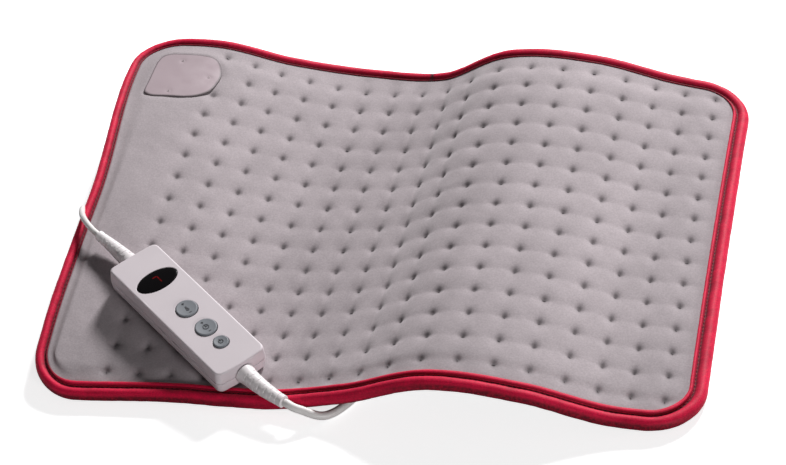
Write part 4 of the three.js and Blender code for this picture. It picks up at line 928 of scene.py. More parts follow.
def bottomCoverHeight(s, t, rim):
    pit, valley = tuftBells(tuftDistance(s, t)[0])
    ripple = underQuilting["ripple"] * wander(s, t, 30, 13.1)
    edge = underQuilting["edgeRise"] * ease(rim, *underQuilting["edgeFrom"])
    height = underQuilting["pit"] * pit + underQuilting["valley"] * valley
    # the second value is the painted shade at the tufts
    return height + np.abs(ripple) * (1 - rim) + edge, pit


def makeCover(name, spec, outerHeight):
    radius = padSpec["cornerRadius"]
    linesS, linesT = (
        crowdedLines(first, pitch, radius, size - radius, spec["cuts"], spec["crowd"])
        for first, pitch, size in (
            (tufts["left"], tuftPitch[0], padLength),
            (tufts["front"], tuftPitch[1], padWidth),
        )
    )
    stations = edgeStations(linesS, linesT, spec["cornerCuts"])
    gridS, gridT = np.meshgrid(linesS, linesT, indexing="ij")
    columns, rows = gridS.shape
    flat = [np.stack((gridS.ravel(), gridT.ravel()), -1)]
    rims = [np.zeros(gridS.size)]
    rings = [(stations[:, 0] * rows + stations[:, 1]).astype(int)]
    count = gridS.size
    for k in range(1, spec["rings"] + 1):
        share = k / spec["rings"]
        inset = radius - (radius - spec["rimInset"]) * share
        flat.append(edgeFlat(stations, linesS, linesT, inset, float(smooth(share))))
        rims.append(np.full(len(stations), share))
        rings.append(np.arange(count, count + len(stations)))
        count += len(stations)
    s, t = np.concatenate(flat).T
    cell = np.arange(columns * rows).reshape(columns, rows)
    quads = np.stack((cell[:-1, :-1], cell[1:, :-1], cell[1:, 1:], cell[:-1, 1:]), -1)
    upward = quads.reshape(-1, 4).tolist()
    for inner, outer in zip(rings, rings[1:]):
        corners = (outer, np.roll(outer, -1), np.roll(inner, -1), inner)
        for a, b, c, d in zip(*(corner.tolist() for corner in corners)):
            upward.append((a, b, c, d) if c != d else (a, b, c))
    height, pit = outerHeight(s, t, np.concatenate(rims))
    inside = np.full(count, spec["innerHeight"])
    plain = np.zeros(count)
    high, low = (height, inside) if spec["up"] else (inside, height)
    pits = (pit, plain) if spec["up"] else (plain, pit)
    verts = np.concatenate((onPad(s, t, high), onPad(s, t, low)))
    faces = upward + [tuple(index + count for index in reversed(face)) for face in upward]
    for a, b in zip(rings[-1].tolist(), np.roll(rings[-1], -1).tolist()):
        faces.append((a, a + count, b + count, b))
    cover = addMesh(name, verts, faces)
    # painted shade at the tufts of the outer face, and beside the pleats on the top, partly the darker
    # thread and pressed pile
    setAttribute(cover, "pit", "FLOAT", np.concatenate(pits) * spec["pitShade"])
    return cover


topSpec = {
    "cuts": 11,
    "crowd": 0.62,
    "cornerCuts": 22,
    "rings": 20,
    "rimInset": 0.0099,
    "innerHeight": 0.007,
    "up": True,
    "pitShade": 0.8,
}
bottomSpec = {
    "cuts": 7,
    "crowd": 0.6,
    "cornerCuts": 14,
    "rings": 12,
    "rimInset": 0.0099,
    "innerHeight": 0.0036,
    "up": False,
    "pitShade": 0.7,
}
topCover = makeCover("topCover", topSpec, topCoverHeight)
finishPiece(topCover, finish["velvet"], "root", "velvet", "top_cover")
bottomCover = makeCover("bottomCover", bottomSpec, bottomCoverHeight)
finishPiece(bottomCover, finish["underVelvet"], "root", "under_velvet", "bottom_cover")
print("covers sewn", len(topCover.data.polygons), len(bottomCover.data.polygons))


# edge binding: a rolled band with a lip over the cover and a sewn groove between them
# a pair is where a change starts and how far it reaches, but lipRest is an inset and a height
bindingSpec = {
    "spacing": 0.00105,
    "cornerCuts": 46,
    "rollHalf": 0.0041,
    "rollHeight": 0.0046,
    "rollMiddle": 0.0053,
    "rollStart": 34,
    "rollCuts": 24,
    "stitchPitch": 0.0034,
    "gather": 0.00016,
    "crease": 0.00018,
    "lipFrom": 0.0088,
    "lipReach": (0.0095, 0.002),
    "lipRest": (0.009, 0.00845),
    "frontLip": 0.001,
    "lipFlat": 0.55,
    "lipShade": 0.75,
    "creaseShade": 0.3,
    "stitchShade": 0.95,
    "frontLowShade": (0.0091, 0.0024),
    "allLowShade": (0.0058, 0.0036),
    "joinAt": 0.48,
    "joinHalf": 0.0013,
    "joinDepth": 0.0003,
    "unshadedAt": 0.215,
    "unshadedHalf": 0.05,
    "unshadedShare": 0.85,
}


def bindingSection():
    # inset from the edge, height, how much it wrinkles, how much it is pulled in at a stitch
    section = [(8.9, 8.5, 0, 0), (11.15, 8.45, 0, 0), (11.4, 8.8, 0.2, 0), (11.3, 9.35, 0.5, 0)]
    section += [(10.95, 9.7, 0.6, 0), (10.4, 9.85, 0.6, 0), (9.9, 9.8, 0.5, 0.1), (9.5, 9.5, 0.4, 0.5)]
    section += [(9.25, 9.0, 0.2, 0.9), (9.05, 8.3, 0.1, 1), (8.7, 7.75, 0, 1), (8.2, 7.6, 0, 1)]
    start, cuts = bindingSpec["rollStart"], bindingSpec["rollCuts"]
    for k in range(cuts + 1):
        angle = math.radians(start + (360 - 2 * start) * k / cuts)
        inset = bindingSpec["rollHalf"] / mm * (1 + math.cos(angle))
        height = (bindingSpec["rollMiddle"] + bindingSpec["rollHeight"] * math.sin(angle)) / mm
        pull = max(0, 1 - min(k, cuts - k) / 4)
        section.append((inset, height, 1.0, pull * 0.8))
    section += [(8.15, 2.3, 0, 1), (8.6, 2.1, 0, 1), (9.0, 1.7, 0.1, 1), (9.4, 1.0, 0.2, 0.9)]
    section += [(9.9, 0.45, 0.5, 0.6), (10.5, 0.2, 0.6, 0), (11.0, 0.3, 0.5, 0), (11.35, 0.7, 0.3, 0)]
    section += [(11.4, 1.15, 0.2, 0), (11.15, 1.5, 0, 0), (8.9, 1.5, 0, 0)]
    return np.array(section) * (mm, mm, 1, 1)


def bandLine(size):
    radius = padSpec["cornerRadius"]
    return np.linspace(radius, size - radius, int((size - 2 * radius) / bindingSpec["spacing"]))


bandS, bandT = bandLine(padLength), bandLine(padWidth)
bandStations = edgeStations(bandS, bandT, bindingSpec["cornerCuts"])


def ringNoise(turns, radius, scale, level):
    # noise on a ring closes where the band does
    spots = [(math.cos(a) * radius * scale, math.sin(a) * radius * scale, level) for a in turns]
    return np.array([noise.noise(Vector(spot)) for spot in spots])


def makeBinding():
    spec = bindingSpec
    outer = edgeFlat(bandStations, bandS, bandT, 0.003)
    steps = np.linalg.norm(np.roll(outer, -1, 0) - outer, axis=1)
    run = np.concatenate(([0], np.cumsum(steps)))
    # a whole number of stitches goes round the band
    stretch = round(run[-1] / spec["stitchPitch"]) * spec["stitchPitch"] / run[-1]
    run = run * stretch
    turns = 2 * np.pi * run[:-1] / run[-1]
    radius = run[-1] / (2 * np.pi)
    stitch = 0.5 + 0.5 * np.cos(2 * np.pi * run[:-1] / spec["stitchPitch"])
    wayS, wayT = bandStations[:, 2], bandStations[:, 3]
    frontShare = smooth(-wayT)
    tuckShare = np.maximum(smooth(wayT), smooth(-wayS))
    # painted shade on the roll's lower side reaches higher along the front, and fades out around one
    # stretch of the front
    unshadedShare = spec["unshadedShare"] * bell(outer[:, 0] - spec["unshadedAt"], spec["unshadedHalf"])
    frontShadeShare = frontShare * (1 - unshadedShare)
    fromJoin = np.where(wayT > 0.99, outer[:, 0] - spec["joinAt"] * padLength, 1.0)
    join = bell(fromJoin, spec["joinHalf"])
    section = bindingSection()
    profile = np.cumsum(np.linalg.norm(np.diff(section[:, :2], axis=0), axis=1))
    count, around = len(bandStations), len(section)
    verts = np.zeros((count, around, 3))
    foldShades = np.zeros((count, around))
    underShades = np.zeros((count, around))
    band = np.zeros((count, around, 3))
    band[:, :, 0] = run[:-1, None]
    band[:, 1:, 1] = profile
    middle = np.array((spec["rollHalf"], padTop / 2))
    for j, (inset, height, wrinkle, pull) in enumerate(section):
        folding = ringNoise(turns, radius, 260, height * 150 + inset * 60)
        creasing = ringNoise(turns, radius, 95, height * 90 + inset * 210 + 9)
        sink = spec["crease"] * wrinkle * (0.6 * folding + creasing)
        sink = sink + spec["gather"] * pull * stitch + spec["joinDepth"] * wrinkle * join
        away = np.array((inset, height)) - middle
        away = away / max(np.linalg.norm(away), 1e-6)
        insets = inset - away[0] * sink
        heights = height - away[1] * sink
        lipStart, lipReach = spec["lipReach"]
        lip = max(inset - lipStart, 0) / lipReach
        insets = insets + spec["frontLip"] * lip * frontShare
        onTop = height > padTop / 2
        onLip = inset > spec["lipFrom"]
        if onTop:
            # at the rear and the left the lip is pressed flat
            restInset, restHeight = spec["lipRest"]
            tuck = tuckShare * spec["lipFlat"]
            insets = insets - tuck * np.maximum(insets - restInset, 0)
            heights = heights - tuck * np.maximum(heights - restHeight, 0) * onLip
        flat = edgeFlat(bandStations, bandS, bandT, insets[:, None])
        verts[:, j] = onPad(flat[:, 0], flat[:, 1], heights)
        # painted shade in the creases, at the stitches and at the seam join
        shade = spec["creaseShade"]
        foldShades[:, j] = np.clip(sink / spec["crease"] * shade, 0, shade) * wrinkle
        foldShades[:, j] += spec["stitchShade"] * pull**2 + join * wrinkle
        # painted shade on the lip pressed flat at the rear and the left
        if onTop and onLip:
            foldShades[:, j] += spec["lipShade"] * tuckShare
        # painted shade on the roll's lower side, higher along the front
        (frontTop, frontFade), (lowTop, lowFade) = spec["frontLowShade"], spec["allLowShade"]
        lowerShade = smooth((frontTop - height) / frontFade) * frontShadeShare
        underShades[:, j] = np.maximum(lowerShade, smooth((lowTop - height) / lowFade)) * wrinkle
    index = np.arange(count * around).reshape(count, around)
    following = np.roll(index, -1, axis=0)
    faces = []
    for j in range(around):
        k = (j + 1) % around
        quads = np.stack((index[:, j], index[:, k], following[:, k], following[:, j]), -1)
        faces.extend(quads.tolist())
    binding = addMesh("edgeBinding", verts.reshape(-1, 3), faces)
    setAttribute(binding, "foldShade", "FLOAT", np.clip(foldShades, 0, 1))
    setAttribute(binding, "under", "FLOAT", np.clip(underShades, 0, 1))
    setAttribute(binding, "band", "FLOAT_VECTOR", band)
    return binding


edgeBinding = makeBinding()
finishPiece(edgeBinding, finish["band"], "root", "binding", "edge_binding")
print("binding rolled", len(edgeBinding.data.polygons))


# Geometry Nodes: small pieces set along a line, or on places with their own direction
def openNodes(name, settings):
    # a tree with a named input for each setting
    tree = bpy.data.node_groups.new(name + "Nodes", "GeometryNodeTree")
    tree.is_modifier = True
    for way in ("INPUT", "OUTPUT"):
        tree.interface.new_socket("Geometry", in_out=way, socket_type="NodeSocketGeometry")
    for key, value in settings.items():
        kind = "NodeSocketObject" if isinstance(value, bpy.types.Object) else "NodeSocketFloat"
        tree.interface.new_socket(key, in_out="INPUT", socket_type=kind)
    return tree, tree.nodes.new("NodeGroupInput").outputs


def addCopies(tree, source, points, direction, axis, seed, material):
    # a copy of the unit on each point, laid along its direction and turned by chance
    add = tree.nodes.new
    link = tree.links.new
    align = add("FunctionNodeAlignRotationToVector")
    align.axis = axis
    link(direction, align.inputs["Vector"])
    chance = add("FunctionNodeRandomValue")
    chance.data_type = "FLOAT"
    chance.inputs["Seed"].default_value = seed
    link(source["Least Turn"], liveSocket(chance.inputs, "Min"))
    link(source["Most Turn"], liveSocket(chance.inputs, "Max"))
    turn = add("FunctionNodeAxisAngleToRotation")
    turn.inputs["Axis"].default_value = (0, 0, 1)
    link(liveSocket(chance.outputs), turn.inputs["Angle"])
    rotate = add("FunctionNodeRotateRotation")
    rotate.rotation_space = "LOCAL"
    link(align.outputs["Rotation"], rotate.inputs["Rotation"])
    link(turn.outputs["Rotation"], rotate.inputs["Rotate By"])
    info = add("GeometryNodeObjectInfo")
    link(source["Unit"], info.inputs["Object"])
    place = add("GeometryNodeInstanceOnPoints")
    link(points, place.inputs["Points"])
    link(info.outputs["Geometry"], place.inputs["Instance"])
    link(rotate.outputs["Rotation"], place.inputs["Rotation"])
    real = add("GeometryNodeRealizeInstances")
    link(place.outputs["Instances"], real.inputs["Geometry"])
    paint = add("GeometryNodeSetMaterial")
    paint.inputs["Material"].default_value = material
    link(real.outputs["Geometry"], paint.inputs["Geometry"])
    link(paint.outputs["Geometry"], add("NodeGroupOutput").inputs["Geometry"])


def runNodes(holder, name, tree, settings):
    modifier = holder.modifiers.new(name, "NODES")
    modifier.node_group = tree
    for socket in tree.interface.items_tree:
        if socket.name in settings:
            modifier[socket.identifier] = settings[socket.name]
    bpy.context.view_layer.update()
    graph = bpy.context.evaluated_depsgraph_get()
    mesh = bpy.data.meshes.new_from_object(holder.evaluated_get(graph))
    piece = bpy.data.objects.new(name, mesh)
    scene.collection.objects.link(piece)
    bpy.data.objects.remove(holder)
    mesh.shade_smooth()
    return piece


def setAlong(name, path, pitch, unit, tilt, material):
    data = bpy.data.curves.new(name + "Path", "CURVE")
    data.dimensions = "3D"
    spline = data.splines.new("POLY")
    spline.points.add(len(path) - 1)
    for point, place in zip(spline.points, path):
        point.co = (*place, 1)
    spline.use_cyclic_u = True
    holder = bpy.data.objects.new(name + "Path", data)
    scene.collection.objects.link(holder)
    settings = {"Unit": unit, "Pitch": pitch, "Least Turn": -tilt, "Most Turn": tilt}
    tree, source = openNodes(name, settings)
    resample = tree.nodes.new("GeometryNodeResampleCurve")
    resample.mode = "LENGTH"
    tree.links.new(source["Geometry"], resample.inputs["Curve"])
    tree.links.new(source["Pitch"], resample.inputs["Length"])
    tangent = tree.nodes.new("GeometryNodeInputTangent").outputs["Tangent"]
    addCopies(tree, source, resample.outputs["Curve"], tangent, "X", 5, material)
    return runNodes(holder, name, tree, settings)


def setOnPlaces(name, places, normals, unit, spin, material):
    holder = addMesh(name + "Places", places, [], False)
    setAttribute(holder, "facing", "FLOAT_VECTOR", normals)
    settings = {"Unit": unit, "Least Turn": 0.0, "Most Turn": spin}
    tree, source = openNodes(name, settings)
    facing = tree.nodes.new("GeometryNodeInputNamedAttribute")
    facing.data_type = "FLOAT_VECTOR"
    facing.inputs["Name"].default_value = "facing"
    addCopies(tree, source, source["Geometry"], liveSocket(facing.outputs), "Z", 11, material)
    return runNodes(holder, name, tree, settings)


def makeBead(name, size, sides, rows):
    # a little rounded bar, long along x
    verts = []
    faces = []
    for k in range(rows + 1):
        angle = math.pi * k / rows
        x = -math.cos(angle) * size[0]
        radius = math.sin(angle) ** 0.6 if 0 < k < rows else 0
        if 0 < k < rows:
            for m in range(sides):
                turn = 2 * math.pi * m / sides
                verts.append((x, radius * size[1] * math.cos(turn), radius * size[2] * math.sin(turn)))
        else:
            verts.append((x, 0, 0))
    for k in range(rows - 2):
        for m in range(sides):
            a = 1 + k * sides + m
            b = 1 + k * sides + (m + 1) % sides
            faces.append((a, a + sides, b + sides, b))
    last = len(verts) - 1
    for m in range(sides):
        n = (m + 1) % sides
        faces.append((0, 1 + m, 1 + n))
        faces.append((last, last - sides + n, last - sides + m))
    bead = addMesh(name, verts, faces)
    bm = bmesh.new()
    bm.from_mesh(bead.data)
    bmesh.ops.recalc_face_normals(bm, faces=bm.faces)
    bm.to_mesh(bead.data)
    bm.free()
    return bead


stitchSpec = {
    "size": (0.00125, 0.00028, 0.00022),
    "sides": 6,
    "rows": 4,
    "inset": 0.00845,
    "tilt": 0.12,
    "heights": {"topStitches": 0.00775, "underStitches": 0.00205},
}
knotSpec = {
    "size": (0.00115, 0.0003, 0.00025),
    "sides": 8,
    "rows": 5,
    "spin": math.pi,
    "topHeight": 0.0076,
    "underHeight": 0.0024,
}


def sewStitches():
    spec = stitchSpec
    unit = makeBead("stitchUnit", spec["size"], spec["sides"], spec["rows"])
    pitch = bindingSpec["stitchPitch"]
    flat = edgeFlat(bandStations, bandS, bandT, spec["inset"])
    for name, height in spec["heights"].items():
        path = onPad(flat[:, 0], flat[:, 1], np.full(len(flat), height))
        stitches = setAlong(name, path[::2], pitch, unit, spec["tilt"], finish["redThread"])
        finishPiece(stitches, None, "root", "binding")
    bpy.data.objects.remove(unit)


def sewTufts():
    spec = knotSpec
    unit = makeBead("knotUnit", spec["size"], spec["sides"], spec["rows"])
    columns, rows = np.meshgrid(range(tufts["columns"]), range(tufts["rows"]), indexing="ij")
    s, t = tuftPlace(columns.ravel().astype(float), rows.ravel().astype(float))
    normals = padNormals(s, t)
    for name, height, way, slot in (
        ("topTuftThreads", spec["topHeight"], normals, "velvet"),
        ("underTuftThreads", spec["underHeight"], -normals, "under_velvet"),
    ):
        places = onPad(s, t, np.full(len(s), height))
        knots = setOnPlaces(name, places, way, unit, spec["spin"], finish["greyThread"])
        finishPiece(knots, None, "root", slot)
    bpy.data.objects.remove(unit)


sewStitches()
sewTufts()
print("stitches and tufts sewn")


# corner patch and its rivets
def makePatch():
    spec = patchSpec
    count = len(patchEdge)
    middle = np.array(spec["place"])
    bottom = padTop - spec["press"] + spec["lift"]
    top = bottom + spec["thickness"]
    rings = [(share, top) for share in np.linspace(*spec["topRings"])]
    cuts = spec["roundCuts"]
    for k in range(1, cuts + 1):
        angle = math.pi / 2 * k / cuts
        inset = spec["round"] * (1 - math.sin(angle)) / spec["halfSize"]
        rings.append((1 - inset, top - spec["round"] * (1 - math.cos(angle))))
    rings += [(share, bottom) for share in (1.0, 0.9, 0.6, 0.3)]
    flat = np.concatenate([middle + (patchEdge - middle) * share for share, _ in rings])
    heights = np.repeat([height for _, height in rings], count)
    dent = np.zeros(len(flat))
    for s, t in spec["rivets"]:
        away = np.hypot(flat[:, 0] - s, flat[:, 1] - t)
        dent += spec["dent"] * bell(away, spec["dentRadius"])
    heights = heights - dent * (heights > top - 0.0002)
    heights = heights + spec["ripple"] * wander(flat[:, 0], flat[:, 1], 60, 2.2)
    flat = np.concatenate((flat, [middle, middle]))
    heights = np.concatenate((heights, [top, bottom]))
    verts = onPad(flat[:, 0], flat[:, 1], heights)
    faces = []
    for k in range(len(rings) - 1):
        for m in range(count):
            n = (m + 1) % count
            faces.append((k * count + m, (k + 1) * count + m, (k + 1) * count + n, k * count + n))
    crown, foot = len(verts) - 2, len(verts) - 1
    last = (len(rings) - 1) * count
    for m in range(count):
        n = (m + 1) % count
        faces.append((crown, m, n))
        faces.append((foot, last + n, last + m))
    patch = addMesh("cornerPatch", verts, faces)
    # painted shade along the patch's edge
    rim = np.repeat([ease(share, *spec["rimShade"]) for share, _ in rings], count)
    setAttribute(patch, "rim", "FLOAT", np.concatenate((rim, (0, 0))))
    return patch


cornerPatch = makePatch()
finishPiece(cornerPatch, finish["patch"], "root", "patch", "corner_patch")

# in millimetres; the tail's height is from the pad's underside
rivetSpec = {
    "tail": -3.2,
    "foot": 1.7,
    "footThickness": 0.4,
    "shank": 0.8,
    "head": 1.0,
    "rise": 0.2,
    "bore": 0.55,
    "depth": 1.2,
}


def makeRivets():
    spec = {key: value * mm for key, value in rivetSpec.items()}
    seat = padTop - patchSpec["press"] + patchSpec["thickness"] - 0.1 * mm
    foot = spec["tail"] + spec["footThickness"]
    under = seat - 0.1 * mm
    crown = seat + spec["rise"]
    profile = [
        (0, spec["tail"]),
        (spec["foot"], spec["tail"]),
        (spec["foot"], foot),
        (spec["shank"], foot),
        (spec["shank"], under),
        (spec["head"], under),
        (spec["head"], seat + 0.12 * mm),
        (spec["head"] * 0.8, crown),
        (spec["bore"] * 1.3, crown),
        (spec["bore"], seat + 0.1 * mm),
        (spec["bore"], seat - spec["depth"]),
        (0, seat - spec["depth"]),
    ]
    for k, (s, t) in enumerate(patchSpec["rivets"]):
        rivet = lathe(f"patchRivet{k + 1}", profile, 32, padFrame(s, t))
        finishPiece(rivet, finish["eyelet"], "root", "steel", f"patch_rivet_{k + 1}")


makeRivets()
print("patch riveted")


# controller housing, in its own frame: plan outlines lofted from ring to ring
housing = {
    "length": 0.125,
    "width": 0.039,
    "height": 0.018,
    "wall": 0.002,
    "topDraft": 0.0006,
    "bottomDraft": 0.0006,
    "topRound": 0.0012,
    "bottomRound": 0.0024,
    "leftReach": 0.001,
    "leftSwell": 0.0005,
    "rightSwell": 0.0013,
    "corner": 0.0037,
    "partingGap": 0.00015,
    "partingBevel": 0.0003,
    "flatRing": 0.00025,
    "cornerCuts": 10,
    "sideCuts": 28,
    "endCuts": 12,
    "floorTurn": -0.006,
}
face = {
    "window": (-0.033, 0.0083, 0.015),
    "level": (0.0006, 0.0072),
    "timer": (0.0221, 0.0072),
    "power": (0.0385, 0.0051),
    "gap": 0.0004,
    "windowGap": 0.0003,
    "lip": 0.0003,
    "windowCuts": 72,
    "holeCuts": 56,
}
screwHoles = {
    "x": 0.051,
    "y": 0.013,
    "mouth": 0.0031,
    "radius": 0.0028,
    "bevel": 0.0003,
    "depth": 0.003,
}


def housingOutline():
    # a rectangle with round corners, counter-clockwise, whose two ends swell a little
    half = housing["width"] / 2
    corner = housing["corner"]
    right = housing["length"] / 2 - housing["rightSwell"]
    left = housing["leftSwell"] - housing["leftReach"] - housing["length"] / 2
    middles = (
        (right - corner, corner - half),
        (right - corner, half - corner),
        (left + corner, half - corner),
        (left + corner, corner - half),
    )
    points = []
    for side, (x, y) in enumerate(middles):
        for k in range(housing["cornerCuts"] + 1):
            turn = math.pi / 2 * (side - 1 + k / housing["cornerCuts"])
            points.append((x + corner * math.cos(turn), y + corner * math.sin(turn)))
        nextX, nextY = middles[(side + 1) % 4]
        cuts = housing["endCuts"] if side % 2 == 0 else housing["sideCuts"]
        lastX, lastY = points[-1]
        for k in range(1, cuts):
            points.append((lastX + (nextX - x) * k / cuts, lastY + (nextY - y) * k / cuts))
    points = np.array(points)
    swell = np.where(points[:, 0] > 0, housing["rightSwell"], -housing["leftSwell"])
    points[:, 0] += swell * (1 - (points[:, 1] / half) ** 2)
    return points


outline = housingOutline()


def housingRing(inset, z):
    scale = (1 - 2 * inset / housing["length"], 1 - 2 * inset / housing["width"])
    return [Vector((x * scale[0], y * scale[1], z)) for x, y in outline]


def roundLevels(radius, top, draft, cuts=9):
    levels = []
    for k in range(cuts + 1):
        angle = math.pi / 2 * k / cuts
        levels.append((draft + radius * (1 - math.cos(angle)), top - radius * (1 - math.sin(angle))))
    return levels


def makeUpperShell():
    top = housing["height"] / 2
    gap, bevel, wall = housing["partingGap"], housing["partingBevel"], housing["wall"]
    draft, flat = housing["topDraft"], housing["flatRing"]
    ceiling = top - wall
    shell = ShellBuilder()
    levels = [(bevel, gap), (bevel * 0.3, gap + bevel * 0.3), (0, gap + bevel), (draft / 2, top / 2)]
    levels += roundLevels(housing["topRound"], top, draft)
    levels.append((levels[-1][0] + flat, top))
    rings = [shell.ring(housingRing(inset, z)) for inset, z in levels]
    shell.loft(rings)
    levels = ((wall, gap), (wall + draft / 2, top / 2), (wall + draft, ceiling))
    inner = [shell.ring(housingRing(inset, z)) for inset, z in levels]
    shell.bridge(inner[1], inner[0])
    shell.bridge(inner[2], inner[1])
    shell.bridge(inner[0], rings[0])
    x, halfX, halfY = face["window"]
    holes = [(x, halfX + face["windowGap"], halfY + face["windowGap"], face["windowCuts"])]
    for key in ("level", "timer", "power"):
        x, radius = face[key]
        holes.append((x, radius + face["gap"], radius + face["gap"], face["holeCuts"]))
    lip = face["lip"]
    steps = [(lip + flat, 0), (lip, 0), (lip * 0.3, -lip * 0.3), (0, -lip)]
    tops, floors = [], []
    for x, halfX, halfY, count in holes:
        loops = [shell.ring(circleRing(x, halfX + a, halfY + a, top + b, count)) for a, b in steps]
        loops.append(shell.ring(circleRing(x, halfX, halfY, ceiling, count)))
        shell.loft(loops)
        tops.append(loops[0])
        floors.append(loops[-1])
    shell.plate(rings[-1], tops, True)
    shell.plate(inner[-1], floors, False)
    return shell.build("upperShell", controllerFrame)


def makeLowerShell():
    bottom = -housing["height"] / 2
    gap, bevel, wall = housing["partingGap"], housing["partingBevel"], housing["wall"]
    draft = housing["bottomDraft"]
    shell = ShellBuilder()
    levels = [(inset, -z) for inset, z in reversed(roundLevels(housing["bottomRound"], -bottom, draft))]
    levels += [(draft / 2, bottom / 2), (0, -gap - bevel)]
    levels += [(bevel * 0.3, -gap - bevel * 0.3), (bevel, -gap)]
    rings = [shell.ring(housingRing(inset, z)) for inset, z in levels]
    shell.loft(rings)
    levels = ((wall + draft, bottom + wall), (wall, housing["floorTurn"]), (wall, -gap))
    inner = [shell.ring(housingRing(inset, z)) for inset, z in levels]
    shell.bridge(inner[1], inner[0])
    shell.bridge(inner[2], inner[1])
    shell.bridge(rings[-1], inner[2])
    spec = screwHoles
    steps = [(spec["mouth"], 0), (spec["radius"], spec["bevel"]), (spec["radius"], spec["depth"])]
    holes = []
    for x in (-spec["x"], spec["x"]):
        for y in (-spec["y"], spec["y"]):
            loops = []
            for radius, rise in steps:
                ring = circleRing(x, radius, radius, bottom + rise, 32)
                loops.append(shell.ring([p + Vector((0, y, 0)) for p in ring]))
            shell.bridge(loops[1], loops[0])
            shell.bridge(loops[2], loops[1])
            shell.plate(loops[2], [], False)
            holes.append(loops[0])
    shell.plate(rings[0], holes, False)
    shell.plate(inner[0], [], True)
    return shell.build("lowerShell", controllerFrame)


upperShell = makeUpperShell()
finishPiece(upperShell, finish["housing"], "root", "housing", "upper_shell")
lowerShell = makeLowerShell()
finishPiece(lowerShell, finish["housing"], "root", "housing", "lower_shell")
print("housing lofted")


# display window with its lit digit
lensSpec = {
    "recess": 0.00012,
    "crown": 0.00035,
    "flange": 0.0014,
    "flangeHeight": 0.0011,
    "shelfGap": 0.0003,
    "edgeSteps": ((0, -0.0004), (-0.0001, -0.00012), (-0.0004, 0)),
    "crownRings": (0.85, 0.65, 0.4, 0.15),
}
digitSpec = {
    "half": 0.0031,
    "side": 0.0018,
    "width": 0.0009,
    "corner": 0.0005,
    "gap": 0.0004,
    "sink": 0.00025,
    "rise": 0.00002,
}


def makeLens():
    x, halfX, halfY = face["window"]
    top = housing["height"] / 2 - lensSpec["recess"]
    shelf = housing["height"] / 2 - housing["wall"] - lensSpec["shelfGap"]
    spread = lensSpec["flange"]
    count = face["windowCuts"]
    shell = ShellBuilder()
    steps = [(spread, shelf - lensSpec["flangeHeight"]), (spread, shelf), (0, shelf)]
    steps += [(out, top + rise) for out, rise in lensSpec["edgeSteps"]]
    rings = [shell.ring(circleRing(x, halfX + a, halfY + a, z, count)) for a, z in steps]
    for share in lensSpec["crownRings"]:
        z = top + lensSpec["crown"] * (1 - share**2)
        rings.append(shell.ring(circleRing(x, halfX * share, halfY * share, z, count)))
    shell.loft(rings)
    shell.plate(rings[0], [], False)
    shell.plate(rings[-1], [], True)
    return shell.build("displayWindow", controllerFrame)


def addBar(shell, start, end, width, low, high):
    # a thin bar with pointed ends, between two places on the face
    a, b = Vector((*start, 0)), Vector((*end, 0))
    along = (b - a).normalized()
    side = Vector((-along.y, along.x, 0)) * width / 2
    tip = along * width / 2
    plan = [a - tip, a - side, b - side, b + tip, b + side, a + side]
    lower = shell.ring([p + Vector((0, 0, low)) for p in plan])
    upper = shell.ring([p + Vector((0, 0, high)) for p in plan])
    shell.bridge(lower, upper)
    shell.plate(upper, [], True)
    shell.plate(lower, [], False)


def makeDigit():
    # a seven as a display of seven bars shows it: its top bar and the two on its right
    spec = digitSpec
    x = face["window"][0]
    z = housing["height"] / 2 - lensSpec["recess"] + lensSpec["crown"]
    half, side, corner, gap = spec["half"], spec["side"], spec["corner"], spec["gap"]
    shell = ShellBuilder()
    segments = (
        ((x - half, -side + corner), (x - half, side - corner)),
        ((x - half + corner, side), (x - gap, side)),
        ((x + gap, side), (x + half - corner, side)),
    )
    for start, end in segments:
        addBar(shell, start, end, spec["width"], z - spec["sink"], z + spec["rise"])
    return shell.build("displayDigit", controllerFrame)


finishPiece(makeLens(), finish["lens"], "root", "lens", "display_window")
finishPiece(makeDigit(), finish["glow"], "root", "lens")


# buttons: turned caps with a dished top, a flange inside, and printed marks
buttonSpec = {
    "rise": 0.001,
    "round": 0.0007,
    "dish": 0.00035,
    "flangeLow": 0.005,
    "flangeHigh": 0.0064,
    "cuts": 56,
    "dishRings": (0.97, 0.85, 0.7, 0.5, 0.3, 0.12),
    "rodOverlap": 0.0005,
}
buttons = {
    "level": {"flange": 0.0014, "rods": (-0.005, 0.005), "rodRadius": 0.0012, "rodEnd": 0.0029},
    "timer": {"flange": 0.0014, "rods": (-0.005, 0.005), "rodRadius": 0.0012, "rodEnd": 0.0029},
    "power": {"flange": 0.0012, "rods": (0,), "rodRadius": 0.0014, "rodEnd": 0.0033},
}
# a bar has its start, its end and a width; an arc has x, radius, width and two angles
markSpec = {
    "level": (
        ("bar", (-0.0013, 0), (0.0007, 0), 0.0011),
        ("arc", 0.0013, 0.0006, 0.0011, 0, 360),
    ),
    "timer": (
        ("arc", 0, 0.0019, 0.0006, 0, 360),
        ("bar", (0, 0), (-0.0011, 0), 0.0005),
        ("bar", (0, 0), (0, 0.0008), 0.0005),
    ),
    "power": (
        ("arc", 0, 0.0015, 0.0006, -150, 150),
        ("bar", (-0.0004, 0), (-0.0021, 0), 0.0005),
    ),
}
signSpec = {"place": 0.62, "half": 0.0007, "width": 0.0008}
printDepth = {"sink": 0.0002, "rise": 0.00002}


def capTop(radius, away):
    top = housing["height"] / 2 + buttonSpec["rise"]
    return top - buttonSpec["dish"] * (1 - min(away / (radius - buttonSpec["round"]), 1) ** 2)


